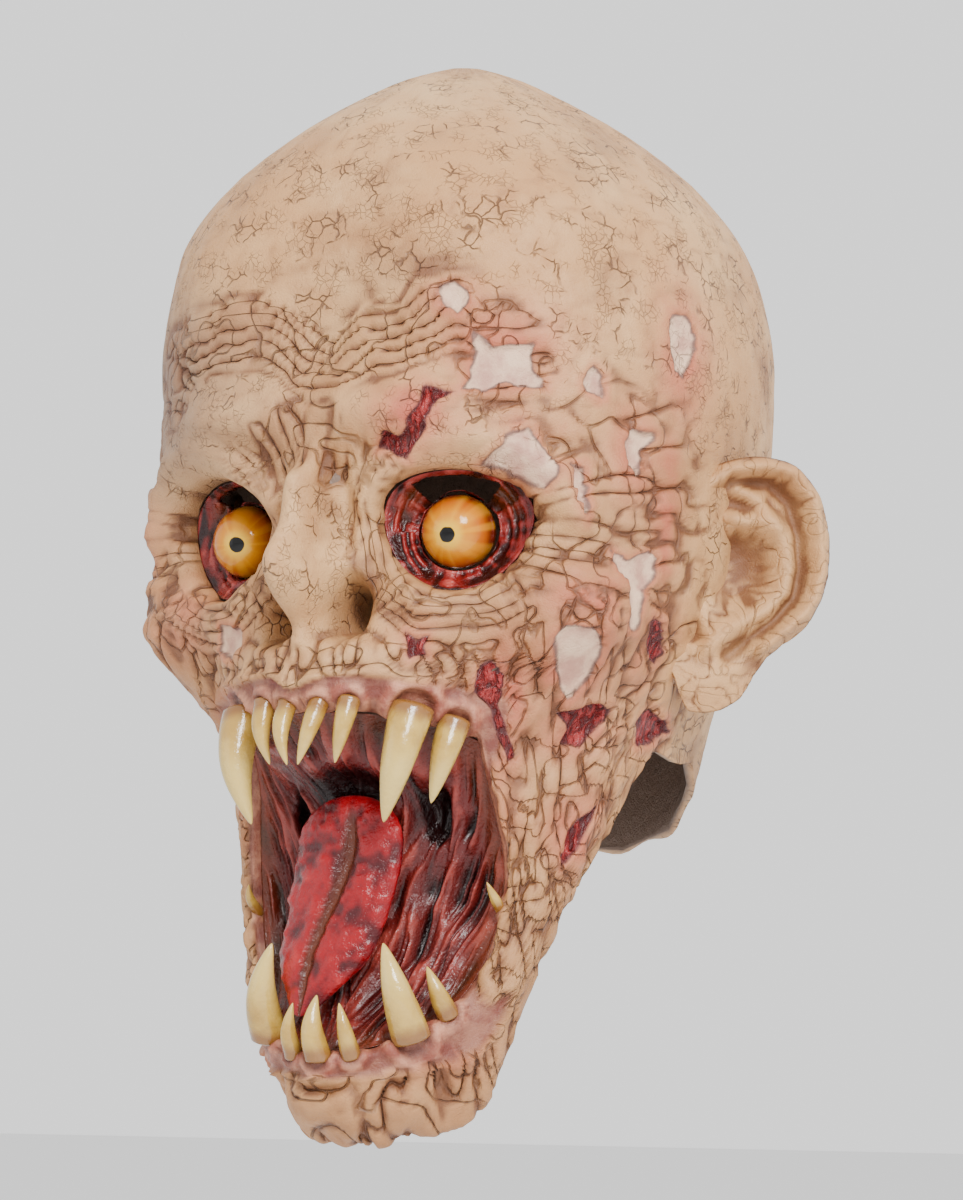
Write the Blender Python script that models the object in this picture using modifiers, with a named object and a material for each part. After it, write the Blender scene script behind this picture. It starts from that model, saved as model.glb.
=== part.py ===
"""Overhead monster mask: a hollow latex head with open jaws, sunken eye sockets, ears, tongue and fangs.

Metres, +Z up, the face towards -Y. The origin is inside the crown, where the wearer's head touches it.
"""

import math

import bmesh
import bpy
import numpy as np
from mathutils import Vector

# Whole mask
HEAD_WIDTH = 0.190
HEAD_DEPTH = 0.232
MASK_HEIGHT = 0.356
WALL = 0.0025
GAP = 0.0003

# Eyes
EYE_SPACING = 0.087
EYE_DROP = MASK_HEIGHT * 0.452
SOCKET_WIDTH = 0.045
SOCKET_HEIGHT = 0.038
SOCKET_BAND_SHARE = 0.10
SOCKET_ROLL = 0.006
SOCKET_DEPTH = 0.007
SOCKET_WALL = 0.0040
SOCKET_AIM = math.radians(22)
EYEBALL_SPACING = 0.079
EYEBALL_DIAMETER = 0.0235
EYEBALL_BULGE = 0.002

# Mouth
MOUTH_WIDTH = 0.092
MOUTH_HEIGHT = MASK_HEIGHT * 0.30
MOUTH_DROP = MASK_HEIGHT * 0.761
LIP_BAND_SHARE = 0.10
LIP_ROLL = 0.005
UPPER_LIP_SQUARE_SHARE = 0.45
THROAT_DEPTH = 0.026
THROAT_WALL = 0.0022
BREATHING_RING_SHARES = (0.45, 0.80)
TONGUE_LENGTH = 0.070
TONGUE_WIDTH = 0.044
TONGUE_THICKNESS = 0.016
TONGUE_SWING = 0.010

# Teeth
FANG_LENGTH = 0.041
ROOT_SHARE = 0.14

# Ears
EAR_HEIGHT = 0.083
EAR_WIDTH = 0.052
EAR_THICKNESS = 0.0030
EAR_DISH = 0.0060
EAR_DROP = MASK_HEIGHT * 0.492
EAR_SINK_SHARE = 0.20
EAR_FLARE = math.radians(46)

# Neck hem
HEM_RAGGED = 0.0025
HEM_WAVE_RATES = (0.11, 0.27)

HALF_WIDTH = HEAD_WIDTH / 2
HALF_DEPTH = HEAD_DEPTH / 2

# Directions round the head at which a section states its reach and its drop, in degrees from the face.
TURNS = (0, 38, 62, 90, 180)

# One row for each section from crown to neck hem. Reaches are shares of the half width and half depth,
# drops are shares of the mask's height, each at the five directions above.
SECTIONS = (
    # reach: front, corner, cheek, side, back     drop: front, corner, cheek, side, back
    ((0.000, 0.000, 0.000, 0.000, 0.000), (0.000, 0.000, 0.000, 0.000, 0.000)),
    ((0.060, 0.060, 0.060, 0.060, 0.060), (0.002, 0.002, 0.002, 0.002, 0.002)),
    ((0.200, 0.200, 0.200, 0.200, 0.200), (0.015, 0.015, 0.015, 0.015, 0.015)),
    ((0.380, 0.385, 0.390, 0.390, 0.390), (0.041, 0.041, 0.041, 0.041, 0.041)),
    ((0.550, 0.570, 0.580, 0.580, 0.580), (0.074, 0.074, 0.074, 0.074, 0.074)),
    ((0.690, 0.775, 0.810, 0.810, 0.810), (0.129, 0.129, 0.129, 0.129, 0.129)),
    ((0.750, 0.890, 0.945, 0.950, 0.950), (0.191, 0.191, 0.191, 0.191, 0.191)),
    ((0.785, 0.935, 1.000, 1.015, 1.015), (0.284, 0.284, 0.284, 0.284, 0.284)),
    ((0.850, 0.930, 0.990, 1.000, 1.005), (0.344, 0.344, 0.348, 0.352, 0.360)),
    ((0.800, 0.880, 0.995, 0.990, 0.980), (0.388, 0.388, 0.390, 0.392, 0.403)),
    ((0.765, 0.835, 1.005, 0.975, 0.950), (0.440, 0.440, 0.440, 0.438, 0.449)),
    ((0.800, 0.860, 0.990, 0.935, 0.885), (0.528, 0.528, 0.523, 0.500, 0.540)),
    ((0.870, 0.800, 0.900, 0.880, 0.810), (0.590, 0.590, 0.578, 0.548, 0.603)),
    ((0.830, 0.710, 0.795, 0.830, 0.770), (0.695, 0.690, 0.652, 0.579, 0.655)),
    ((0.820, 0.695, 0.740, 0.795, 0.755), (0.790, 0.780, 0.715, 0.603, 0.685)),
    ((0.790, 0.695, 0.725, 0.780, 0.745), (0.888, 0.874, 0.760, 0.615, 0.700)),
    ((0.750, 0.625, 0.685, 0.770, 0.740), (0.949, 0.935, 0.785, 0.623, 0.710)),
    ((0.620, 0.540, 0.650, 0.760, 0.735), (0.994, 0.972, 0.802, 0.630, 0.718)),
    ((0.480, 0.480, 0.620, 0.755, 0.733), (0.955, 0.927, 0.806, 0.636, 0.724)),
    ((0.400, 0.440, 0.600, 0.750, 0.730), (0.834, 0.820, 0.800, 0.642, 0.730)),
)
BROW_SECTION = 8
CHIN_SECTION = 17
LAST_SECTION = len(SECTIONS) - 1

# Bulges and hollows of the face, the same on both sides. Turn and half turn are degrees round the head,
# drop and half drop shares of the height, push a share of the half depth, and edge how sudden it is.
RELIEF = (
    # name, turn, drop, half_turn, half_drop, push, edge
    ("brow_middle", 24, 0.352, 13, 0.024, 0.045, 1.0),
    ("brow_outer", 47, 0.372, 9, 0.034, 0.020, 1.0),
    ("brow_valley", 0, 0.318, 5, 0.030, -0.025, 1.0),
    ("nose_bridge", 0, 0.440, 5.0, 0.060, 0.135, 1.3),
    ("nose_tip", 0, 0.496, 6.0, 0.036, 0.140, 1.3),
    ("nose_flank", 9, 0.470, 7, 0.040, 0.020, 1.0),
    ("nostril", 9.6, 0.518, 4.6, 0.026, -0.130, 1.6),
    ("eye_bag", 32, 0.512, 16, 0.016, 0.020, 1.0),
    ("cheekbone", 57, 0.530, 12, 0.050, 0.060, 1.3),
    ("cheek_hollow", 58, 0.640, 11, 0.045, -0.035, 1.0),
    ("temple", 80, 0.415, 10, 0.060, -0.015, 1.0),
    ("muzzle", 0, 0.574, 26, 0.028, 0.030, 1.4),
    ("lower_gum", 0, 0.905, 26, 0.022, 0.020, 1.2),
    ("chin", 0, 0.960, 22, 0.025, 0.025, 1.2),
)


# One row for each tooth or mirrored pair. Across and down are grid shares of the mouth's half sizes. Length
# and radius are shares of FANG_LENGTH, both leans shares of the tooth's own length.
TEETH = (
    # name, across, down, length, radius, lean inward, lean forward
    ("upper_incisor", 0.11, -1.04, 0.47, 0.074, 0.20, 0.32),
    ("upper_side_incisor", 0.30, -1.06, 0.47, 0.080, 0.18, 0.14),
    ("upper_fang", 0.66, -1.07, 0.97, 0.155, 0.19, 0.17),
    ("upper_small_fang", 0.90, -1.05, 0.62, 0.115, 0.20, 0.22),
    ("lower_incisor", 0.00, 1.03, 0.47, 0.100, 0.00, 0.06),
    ("lower_side_incisor", 0.26, 1.03, 0.39, 0.070, 0.12, 0.24),
    ("lower_fang", 0.71, 1.04, 0.72, 0.140, 0.19, 0.27),
    ("lower_small_fang", 0.98, 1.03, 0.36, 0.080, 0.28, 0.38),
    ("lower_side_tooth", 1.02, 0.31, 0.20, 0.042, 0.12, 0.80),
)


def smooth_curve(keys, values, at, flat_ends):
    """Reads each row of values at its own point of at, on a curve through the keys that never overshoots."""
    keys = np.asarray(keys, float)
    rise = np.diff(values, axis=1) / np.diff(keys)
    both = rise[:, :-1] * rise[:, 1:]
    level = both <= 0
    middle = np.where(level, 0, 2 * both / np.where(level, 1, rise[:, :-1] + rise[:, 1:]))
    ends = 0 if flat_ends else 1
    slopes = np.concatenate([rise[:, :1] * ends, middle, rise[:, -1:] * ends], axis=1)
    left = np.clip(np.searchsorted(keys, at, side="right") - 1, 0, len(keys) - 2)
    span = keys[left + 1] - keys[left]
    f = (at - keys[left]) / span
    row = np.arange(len(at)) if len(values) > 1 else 0
    return (
        values[row, left] * (2 * f**3 - 3 * f**2 + 1)
        + values[row, left + 1] * (3 * f**2 - 2 * f**3)
        + span * (slopes[row, left] * (f**3 - 2 * f**2 + f) + slopes[row, left + 1] * (f**3 - f**2))
    )


def base_reach_and_drop(turn, section):
    """Reach share and drop share of the plain head at each turn, in degrees, and section number."""
    keys = np.arange(len(SECTIONS))
    answers = []
    for column in (0, 1):
        table = np.array([row[column] for row in SECTIONS], float).T
        at_turns = [smooth_curve(keys, one_turn[None], section, False) for one_turn in table]
        answers.append(smooth_curve(TURNS, np.stack(at_turns, axis=1), np.abs(turn), True))
    return answers


def section_at(turn, drop):
    """Section number, with its fraction, at which the plain head has this drop share on this side."""
    sections = np.linspace(0, CHIN_SECTION - 1, 600)
    drops = base_reach_and_drop(np.full(len(sections), float(turn)), sections)[1]
    return float(np.interp(drop, drops, sections))


def turn_at(across, drop):
    """Turn, in degrees, at which the plain head is this far from the middle plane at this drop share."""
    turns = np.linspace(0, 85, 400)
    sections = np.array([section_at(t, drop) for t in turns[::20]])
    sections = np.interp(turns, turns[::20], sections)
    reach = base_reach_and_drop(turns, sections)[0]
    return float(np.interp(across, reach * HALF_WIDTH * np.sin(np.radians(turns)), turns))


def opening(name, across, drop, width, height, band, roll, square_top):
    """An opening in the skin: its centre, half sizes and rim, in turns and section numbers."""
    share = drop / MASK_HEIGHT
    half = height / 2 / MASK_HEIGHT
    inner, outer = turn_at(max(across - width / 2, 0), share), turn_at(across + width / 2, share)
    turn = (inner + outer) / 2 if across else 0
    half_turn = (outer - inner) / 2 if across else outer
    top, bottom = section_at(turn, share - half), section_at(turn, share + half)
    return {
        "name": name,
        "turn": turn,
        "half_turn": half_turn,
        "section": (top + bottom) / 2,
        "half_section": (bottom - top) / 2,
        "band": band,
        "roll": roll,
        "square_top": square_top,
    }


EYE = opening("eye", EYE_SPACING / 2, EYE_DROP, SOCKET_WIDTH, SOCKET_HEIGHT, SOCKET_BAND_SHARE, SOCKET_ROLL, 0)
MOUTH = opening("mouth", 0, MOUTH_DROP, MOUTH_WIDTH, MOUTH_HEIGHT, LIP_BAND_SHARE, LIP_ROLL, UPPER_LIP_SQUARE_SHARE)
AIMS = {"eye": SOCKET_AIM, "mouth": 0}
WARP_REACH_SHARE = 1.45

# How finely the skin's grid is drawn: degrees round the head, and sections down it between its stops.
FACE_STEP = 4.4
SIDE_STEP = 9
BACK_STEP = 15
SECTION_STEPS = (0.9, 1, 0.37, 1, 0.55, 1, 0.42, 1, 0.6, 1.0)


def square_to_round(a, b, square_top):
    """Turns square rings round the middle into round ones, so that edge loops follow an opening's rim."""
    ring = np.maximum(np.abs(a), np.abs(b))
    safe = np.maximum(ring, 1e-9)
    p, q = a / safe, b / safe
    round_p, round_q = p * np.sqrt(1 - q * q / 2), q * np.sqrt(1 - p * p / 2)
    straight = np.clip((ring - 1) / (WARP_REACH_SHARE - 1), 0, 1)
    straight = np.maximum(straight * straight * (3 - 2 * straight), square_top * np.clip(-q, 0, 1))
    return ring * (round_p * (1 - straight) + p * straight), ring * (round_q * (1 - straight) + q * straight), ring


def surface(turn, section, rings):
    """Points of the outer skin at each turn and section number, rolled in near each opening's rim."""
    side = np.where(turn < 0, -1.0, 1.0)
    turn = np.abs(turn)
    reach, drop = base_reach_and_drop(turn, section)
    under = np.clip((section - CHIN_SECTION) / 1.2, 0, 1)
    push = np.zeros(len(turn))
    for _, at_turn, at_drop, half_turn, half_drop, height, edge in RELIEF:
        away = ((turn - at_turn) / half_turn) ** 2 + ((drop - at_drop) / half_drop) ** 2
        push += height * HALF_DEPTH * np.exp(-(away**edge)) * (1 - under)
    angle = np.radians(turn)
    x = (reach * HALF_WIDTH + push) * np.sin(angle)
    y = -(reach * HALF_DEPTH + push) * np.cos(angle)
    z = WALL - drop * MASK_HEIGHT
    waves = sum(np.sin(turn * pace + 9 * pace) for pace in HEM_WAVE_RATES) / len(HEM_WAVE_RATES)
    z += HEM_RAGGED * waves * np.clip(section - LAST_SECTION + 1, 0, 1)
    for hole in (EYE, MOUTH):
        aim = AIMS[hole["name"]]
        depth = np.clip(1 - (rings[hole["name"]] - 1) / hole["band"], 0, 1) ** 2 * hole["roll"]
        x -= depth * math.sin(aim)
        y += depth * math.cos(aim)
    return np.stack([side * x, y, z], axis=1)


def drawn_round(hole, turn, section):
    """Turn, section and ring number of the grid's points once it is drawn round this opening."""
    a, b = (turn - hole["turn"]) / hole["half_turn"], (section - hole["section"]) / hole["half_section"]
    a, b, ring = square_to_round(a, b, hole["square_top"])
    near = ring < WARP_REACH_SHARE
    turn = np.where(near, hole["turn"] + a * hole["half_turn"], turn)
    return turn, np.where(near, hole["section"] + b * hole["half_section"], section), ring


def shaped(turn, section):
    """As surface, with the grid drawn round both openings first. Also gives the ring number round each."""
    side = np.where(turn < 0, -1.0, 1.0)
    turn, section = np.abs(turn), section.astype(float)
    rings = {}
    for hole in (EYE, MOUTH):
        turn, section, rings[hole["name"]] = drawn_round(hole, turn, section)
    return surface(side * turn, section, rings), rings


def rim_point(hole, across, down):
    """Point of the skin beside an opening, in grid shares of its half sizes, before it is drawn round."""
    turn = np.array([hole["turn"] + across * hole["half_turn"]])
    section = np.array([hole["section"] + down * hole["half_section"]])
    turn, section, ring = drawn_round(hole, turn, section)
    rings = {name: ring if name == hole["name"] else np.array([9.0]) for name in AIMS}
    return Vector(surface(turn, section, rings)[0])


def stations(stops, steps):
    """Numbers from the first stop to the last, with steps between each two no longer than asked."""
    runs = [np.linspace(a, b, max(1, math.ceil((b - a) / n - 0.2)), endpoint=False)
            for a, b, n in zip(stops[:-1], stops[1:], steps)]
    return np.concatenate([*runs, [stops[-1]]])


def grid_lines():
    """Turns and section numbers of the skin's edge loops. Both openings' rims lie on a loop."""
    eye_band, mouth_band = 1 + EYE["band"], 1 + MOUTH["band"]
    eye_in, eye_out = EYE["turn"] - EYE["half_turn"], EYE["turn"] + EYE["half_turn"]
    face = [0, eye_in, eye_out, EYE["turn"] + EYE["half_turn"] * eye_band]
    face += [MOUTH["half_turn"], MOUTH["half_turn"] * mouth_band]
    face = sorted(face)
    half = stations([*face, 90, 180], [FACE_STEP] * (len(face) - 1) + [SIDE_STEP, BACK_STEP])
    section_stops = [0, EYE["section"] - EYE["half_section"] * eye_band]
    section_stops += [EYE["section"] - EYE["half_section"], EYE["section"] + EYE["half_section"]]
    section_stops += [EYE["section"] + EYE["half_section"] * eye_band]
    section_stops += [MOUTH["section"] - MOUTH["half_section"] * mouth_band]
    section_stops += [MOUTH["section"] - MOUTH["half_section"], MOUTH["section"] + MOUTH["half_section"]]
    section_stops += [MOUTH["section"] + MOUTH["half_section"] * mouth_band, CHIN_SECTION, LAST_SECTION]
    sections = stations(section_stops, SECTION_STEPS)
    return np.concatenate([-half[:0:-1], half]), sections


def collection(name):
    made = bpy.data.collections.new(name)
    bpy.context.scene.collection.children.link(made)
    return made


def add_object(name, mesh, material, where):
    made = bpy.data.objects.new(name, mesh)
    if material:
        mesh.materials.append(material)
    where.objects.link(made)
    return made


def finish_material(name, colour, roughness):
    made = bpy.data.materials.new(name)
    made.use_nodes = True
    shader = made.node_tree.nodes["Principled BSDF"]
    shader.inputs["Base Color"].default_value = (*colour, 1)
    shader.inputs["Roughness"].default_value = roughness
    shader.inputs["Metallic"].default_value = 0
    return made


def skin_grid(name):
    """The whole outer skin as one grid, seam welded at the back of the head, crown welded to a point."""
    turns, sections = grid_lines()
    grid = bmesh.new()
    bmesh.ops.create_grid(grid, x_segments=len(turns) - 1, y_segments=len(sections) - 1, size=1)
    grid.verts.ensure_lookup_table()
    flat = np.array([v.co[:2] for v in grid.verts])
    column = np.round((flat[:, 0] + 1) / 2 * (len(turns) - 1)).astype(int)
    row = np.round((1 - flat[:, 1]) / 2 * (len(sections) - 1)).astype(int)
    points, rings = shaped(turns[column], sections[row])
    for vertex, point in zip(grid.verts, points):
        vertex.co = point
    return grid, rings


def inside_ring(face, ring, most=1.001):
    return max(ring[v.index] for v in face.verts) < most


def weld_and_face_out(mesh):
    bmesh.ops.remove_doubles(mesh, verts=mesh.verts, dist=1e-5)
    bmesh.ops.recalc_face_normals(mesh, faces=mesh.faces)


def mesh_from(grid, name):
    mesh = bpy.data.meshes.new(name)
    grid.to_mesh(mesh)
    grid.free()
    mesh.shade_smooth()
    return mesh


def give_wall(made, thickness, offset=-1):
    wall = made.modifiers.new("wall", "SOLIDIFY")
    wall.thickness = thickness
    wall.offset = offset


def cut(made, cutter):
    hole = made.modifiers.new("cut", "BOOLEAN")
    hole.operation = "DIFFERENCE"
    hole.solver = "EXACT"
    hole.object = cutter


def as_cutter(made):
    made.hide_render = True
    made.display_type = "WIRE"
    return made


def make_hood(where, material):
    """Latex head: the skin with its eye and mouth openings, given its wall inwards."""
    grid, rings = skin_grid("hood")
    grid.faces.ensure_lookup_table()
    open_faces = [f for f in grid.faces if inside_ring(f, rings["eye"]) or inside_ring(f, rings["mouth"])]
    bmesh.ops.delete(grid, geom=open_faces, context="FACES")
    weld_and_face_out(grid)
    hood = add_object("hood", mesh_from(grid, "hood"), material, where)
    give_wall(hood, WALL)


def make_seat_form(where):
    """Closed head a gap larger than the skin: what ears and teeth are cut to, so that they sit on it."""
    grid, _ = skin_grid("seat_form")
    weld_and_face_out(grid)
    bmesh.ops.holes_fill(grid, edges=[e for e in grid.edges if e.is_boundary])
    bmesh.ops.recalc_face_normals(grid, faces=grid.faces)
    grid.normal_update()
    for vertex in grid.verts:
        vertex.co += vertex.normal * GAP * 1.5
    return as_cutter(add_object("seat_form", mesh_from(grid, "seat_form"), None, where))


def dish_grid(name, hole, side, deeper, is_open):
    """The grid inside an opening, pressed in behind its rim. deeper gives each ring's extra depth."""
    grid, rings = skin_grid(name)
    grid.faces.ensure_lookup_table()
    ring = rings[hole["name"]]
    keep = [f for f in grid.faces if inside_ring(f, ring) and f.calc_center_median().x * side >= 0]
    drop = [f for f in grid.faces if f not in set(keep) or is_open(f, ring)]
    aim = AIMS[hole["name"]]
    inward = Vector((-math.sin(aim) * side, math.cos(aim), 0)) if aim else Vector((0, 1, 0))
    rim = [v.co.copy() for v in grid.verts if 0.999 < ring[v.index] < 1.001 and v.co.x * side >= 0]
    middle = sum(rim, Vector()) / len(rim)
    size = sum((p - middle).length for p in rim) / len(rim)
    for vertex in grid.verts:
        vertex.co = middle + (vertex.co - middle) * (1 - 2.5 * GAP / size)
        vertex.co += inward * deeper(min(ring[vertex.index], 1))
    bmesh.ops.delete(grid, geom=drop, context="FACES")
    weld_and_face_out(grid)
    if sum((f.normal for f in grid.faces), Vector()).dot(inward) > 0:
        bmesh.ops.reverse_faces(grid, faces=grid.faces)
    return grid


def ball(name, centre, radius, where, material, segments=16, rings=11):
    made = bmesh.new()
    bmesh.ops.create_uvsphere(made, u_segments=segments, v_segments=rings, radius=radius)
    bmesh.ops.translate(made, verts=made.verts, vec=centre)
    return add_object(name, mesh_from(made, name), material, where)


def eyeball_centre(side):
    clear = {name: np.array([9.0]) for name in AIMS}
    skin = surface(np.array([EYE["turn"]]), np.array([EYE["section"]]), clear)[0]
    back = EYEBALL_DIAMETER / 2 - EYEBALL_BULGE
    return Vector((EYEBALL_SPACING / 2 * side, skin[1] + back, WALL - EYE_DROP))


def make_eye(side, where, cutters, flesh, amber):
    """Red flesh dish, cut for the eyeball that sits in it, and open in a crescent above the eyeball."""
    word = "left" if side > 0 else "right"

    def crescent(face, ring):
        middle = face.calc_center_median()
        above = middle.z > eyeball_centre(side).z + SOCKET_HEIGHT * 0.30
        return above and abs(abs(middle.x) - EYE_SPACING / 2) < SOCKET_WIDTH * 0.27

    grid = dish_grid(f"socket_{word}", EYE, side, lambda ring: SOCKET_DEPTH * (1 - ring**2), crescent)
    dish = add_object(f"socket_{word}", mesh_from(grid, f"socket_{word}"), flesh, where)
    give_wall(dish, SOCKET_WALL)
    seat = ball(f"eye_seat_{word}", eyeball_centre(side), EYEBALL_DIAMETER / 2 + GAP * 2, cutters, None, 20, 14)
    cut(dish, as_cutter(seat))
    ball(f"eyeball_{word}", eyeball_centre(side), EYEBALL_DIAMETER / 2, where, amber)


def throat(ring):
    return 3 * GAP + THROAT_DEPTH * (1 - ring**2)


def make_mouth_lining(where, material):
    """Red dish behind the mouth opening, with a breathing hole above the tongue."""

    def breathing(face, ring):
        near, far = BREATHING_RING_SHARES
        reach = [ring[v.index] for v in face.verts]
        middle = face.calc_center_median()
        high = middle.z > WALL - MOUTH_DROP + MOUTH_HEIGHT * 0.20
        return high and near < sum(reach) / 4 < far and abs(middle.x) < MOUTH_WIDTH * 0.17

    grid = dish_grid("mouth_lining", MOUTH, 0, throat, breathing)
    lining = add_object("mouth_lining", mesh_from(grid, "mouth_lining"), material, where)
    give_wall(lining, THROAT_WALL)


def make_throat_form(where):
    """Block that fills what lies behind the lining, a gap in front of it: the tongue is cut to it."""
    grid = dish_grid("throat_form", MOUTH, 0, lambda ring: throat(ring) - 2 * GAP, lambda face, ring: False)
    form = add_object("throat_form", mesh_from(grid, "throat_form"), None, where)
    give_wall(form, TONGUE_THICKNESS * 1.5)
    return as_cutter(form)


def make_tongue(where, material, throat_form):
    """Two-lobed tongue: a ball drawn out along a curve from the throat to behind the lower front teeth."""
    made = bmesh.new()
    bmesh.ops.create_uvsphere(made, u_segments=16, v_segments=12, radius=1)
    root = Vector((0, -HALF_DEPTH * 0.60, WALL - MOUTH_DROP + MOUTH_HEIGHT * 0.26))
    for vertex in made.verts:
        across, out, along = vertex.co.x, vertex.co.y, (1 - vertex.co.z) / 2
        full = math.sqrt(max(1 - (2 * along - 1) ** 4, 0)) * (1 - 0.45 * along)
        thin = max(math.sqrt(max(across * across + out * out, 0)), 1e-6)
        across, out = across / thin, out / thin
        groove = 0.35 * math.exp(-((across / 0.3) ** 2)) if out < 0 else 0
        vertex.co = root + Vector(
            (
                across * full * TONGUE_WIDTH / 2 - TONGUE_SWING * along**2,
                out * (1 - groove) * full * TONGUE_THICKNESS / 2 - TONGUE_LENGTH * 0.22 * along**2,
                -TONGUE_LENGTH * along,
            )
        )
    bmesh.ops.remove_doubles(made, verts=made.verts, dist=1e-6)
    bmesh.ops.recalc_face_normals(made, faces=made.faces)
    tongue = add_object("tongue", mesh_from(made, "tongue"), material, where)
    cut(tongue, throat_form)


def make_tooth(name, gum, axis, radius, where, material, seat_form):
    """Curved cone from inside the gum to a tip, cut off flush with the gum."""
    made = bmesh.new()
    bmesh.ops.create_uvsphere(made, u_segments=8, v_segments=7, radius=1)
    turn = axis.to_track_quat("Z", "Y")
    length = axis.length
    for vertex in made.verts:
        share = (vertex.co.z + 1) / 2
        along = share * (1 + ROOT_SHARE) - ROOT_SHARE
        flat = Vector((vertex.co.x, vertex.co.y, 0))
        if flat.length > 1e-6:
            flat.normalize()
            flat *= radius * (1 - max(along, 0)) ** 0.65 * math.sqrt(1 - max(1 - share / ROOT_SHARE, 0) ** 2)
        bow = Vector((0, -math.sin(math.pi * max(along, 0)) * length * 0.05, 0))
        vertex.co = gum + bow + turn @ (flat + Vector((0, 0, along * length)))
    bmesh.ops.recalc_face_normals(made, faces=made.faces)
    tooth = add_object(name, mesh_from(made, name), material, where)
    cut(tooth, seat_form)


def make_teeth(where, material, seat_form):
    for name, across, down, length, radius, inward, forward in TEETH:
        for side, word in ((1, "_left"), (-1, "_right")) if across else ((1, ""),):
            gum = rim_point(MOUTH, across, down)
            gum.x *= side
            axis = Vector((-inward * side, -forward, -1 if down < 0 else 1)) * length * FANG_LENGTH
            make_tooth(name + word, gum, axis, radius * FANG_LENGTH, where, material, seat_form)


def make_ear(side, where, material, seat_form):
    """Cupped ear, flared back from the head and cut off flush with it."""
    word = "left" if side > 0 else "right"
    made = bmesh.new()
    bmesh.ops.create_grid(made, x_segments=10, y_segments=14, size=1)
    away = Vector((math.cos(EAR_FLARE) * side, math.sin(EAR_FLARE), 0))
    front = Vector((math.sin(EAR_FLARE) * side, -math.cos(EAR_FLARE), 0))
    root = Vector((HALF_WIDTH * 0.93 * side, 0, WALL - EAR_DROP))
    for vertex in made.verts:
        a, b = vertex.co.x, vertex.co.y
        ring = max(abs(a), abs(b))
        p, q = a * math.sqrt(1 - b * b / 2), b * math.sqrt(1 - a * a / 2)
        out = EAR_WIDTH * (0.5 - EAR_SINK_SHARE + 0.5 * p * (1 + 0.18 * q) + 0.06 * q)
        cup = EAR_DISH * (math.exp(-(((ring - 0.86) / 0.30) ** 2)) - 0.6 * math.exp(-((ring / 0.6) ** 4)))
        vertex.co = root + away * out + Vector((0, 0, EAR_HEIGHT / 2 * q)) + front * cup
    bmesh.ops.recalc_face_normals(made, faces=made.faces)
    if sum((f.normal for f in made.faces), Vector()).dot(front) < 0:
        bmesh.ops.reverse_faces(made, faces=made.faces)
    ear = add_object(f"ear_{word}", mesh_from(made, f"ear_{word}"), material, where)
    give_wall(ear, EAR_THICKNESS)
    cut(ear, seat_form)


def main():
    for old in list(bpy.data.objects):
        bpy.data.objects.remove(old)
    parts = collection("monster_mask")
    cutters = collection("cutters")
    latex = finish_material("latex_skin", (0.72, 0.58, 0.42), 0.6)
    flesh = finish_material("wet_flesh", (0.30, 0.02, 0.02), 0.25)
    tongue_red = finish_material("tongue_red", (0.55, 0.03, 0.04), 0.25)
    ivory = finish_material("tooth_ivory", (0.78, 0.68, 0.38), 0.3)
    amber = finish_material("eye_amber", (0.70, 0.36, 0.03), 0.1)
    make_hood(parts, latex)
    seat_form = make_seat_form(cutters)
    throat_form = make_throat_form(cutters)
    make_mouth_lining(parts, flesh)
    make_tongue(parts, tongue_red, throat_form)
    make_teeth(parts, ivory, seat_form)
    for side in (1, -1):
        make_eye(side, parts, cutters, flesh, amber)
        make_ear(side, parts, latex, seat_form)


main()
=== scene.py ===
# %% [markdown]
# # A latex monster mask
#
# This lesson dresses a mask that is already built as plain solids. A mask like this is poured as one skin of
# latex in a mould, so every fold, crack and wound is in the skin itself, and thin paint rubbed into the
# grooves makes the relief read. We follow the same order: shape the head, carve and paint it, and add ears,
# eyes, mouth and teeth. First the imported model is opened, so that every new piece can be laid on the solid
# that it dresses.

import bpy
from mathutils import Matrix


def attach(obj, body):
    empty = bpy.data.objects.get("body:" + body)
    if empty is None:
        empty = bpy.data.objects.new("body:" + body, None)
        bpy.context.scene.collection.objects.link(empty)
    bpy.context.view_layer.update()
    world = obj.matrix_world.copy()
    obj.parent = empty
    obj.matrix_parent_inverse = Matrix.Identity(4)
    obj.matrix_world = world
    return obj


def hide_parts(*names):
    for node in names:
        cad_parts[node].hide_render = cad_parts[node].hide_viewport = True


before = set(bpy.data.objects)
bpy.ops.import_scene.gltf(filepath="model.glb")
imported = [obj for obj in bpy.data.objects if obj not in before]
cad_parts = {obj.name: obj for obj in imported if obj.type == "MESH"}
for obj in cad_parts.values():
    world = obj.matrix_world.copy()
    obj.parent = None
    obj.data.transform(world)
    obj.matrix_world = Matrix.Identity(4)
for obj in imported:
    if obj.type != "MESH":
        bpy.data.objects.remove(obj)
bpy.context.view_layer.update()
print("solids in the packed model:", len(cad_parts))

# %% The modules that the lesson uses
import math
from itertools import product

import bmesh
import bpy
import numpy as np
from mathutils import Vector

# %% [markdown]
# ## The plain head
#
# A head could be sculpted by hand with brushes, or started from a ball. Here it is a stack of level sections
# from crown to neck, each saying how far the skin reaches in five directions and how low it hangs there. A
# table like that is easy to correct against a photograph, and one smooth curve through each column gives the
# skin anywhere between. Reaches are shares of the half width and half depth, drops are shares of the height.

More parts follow.
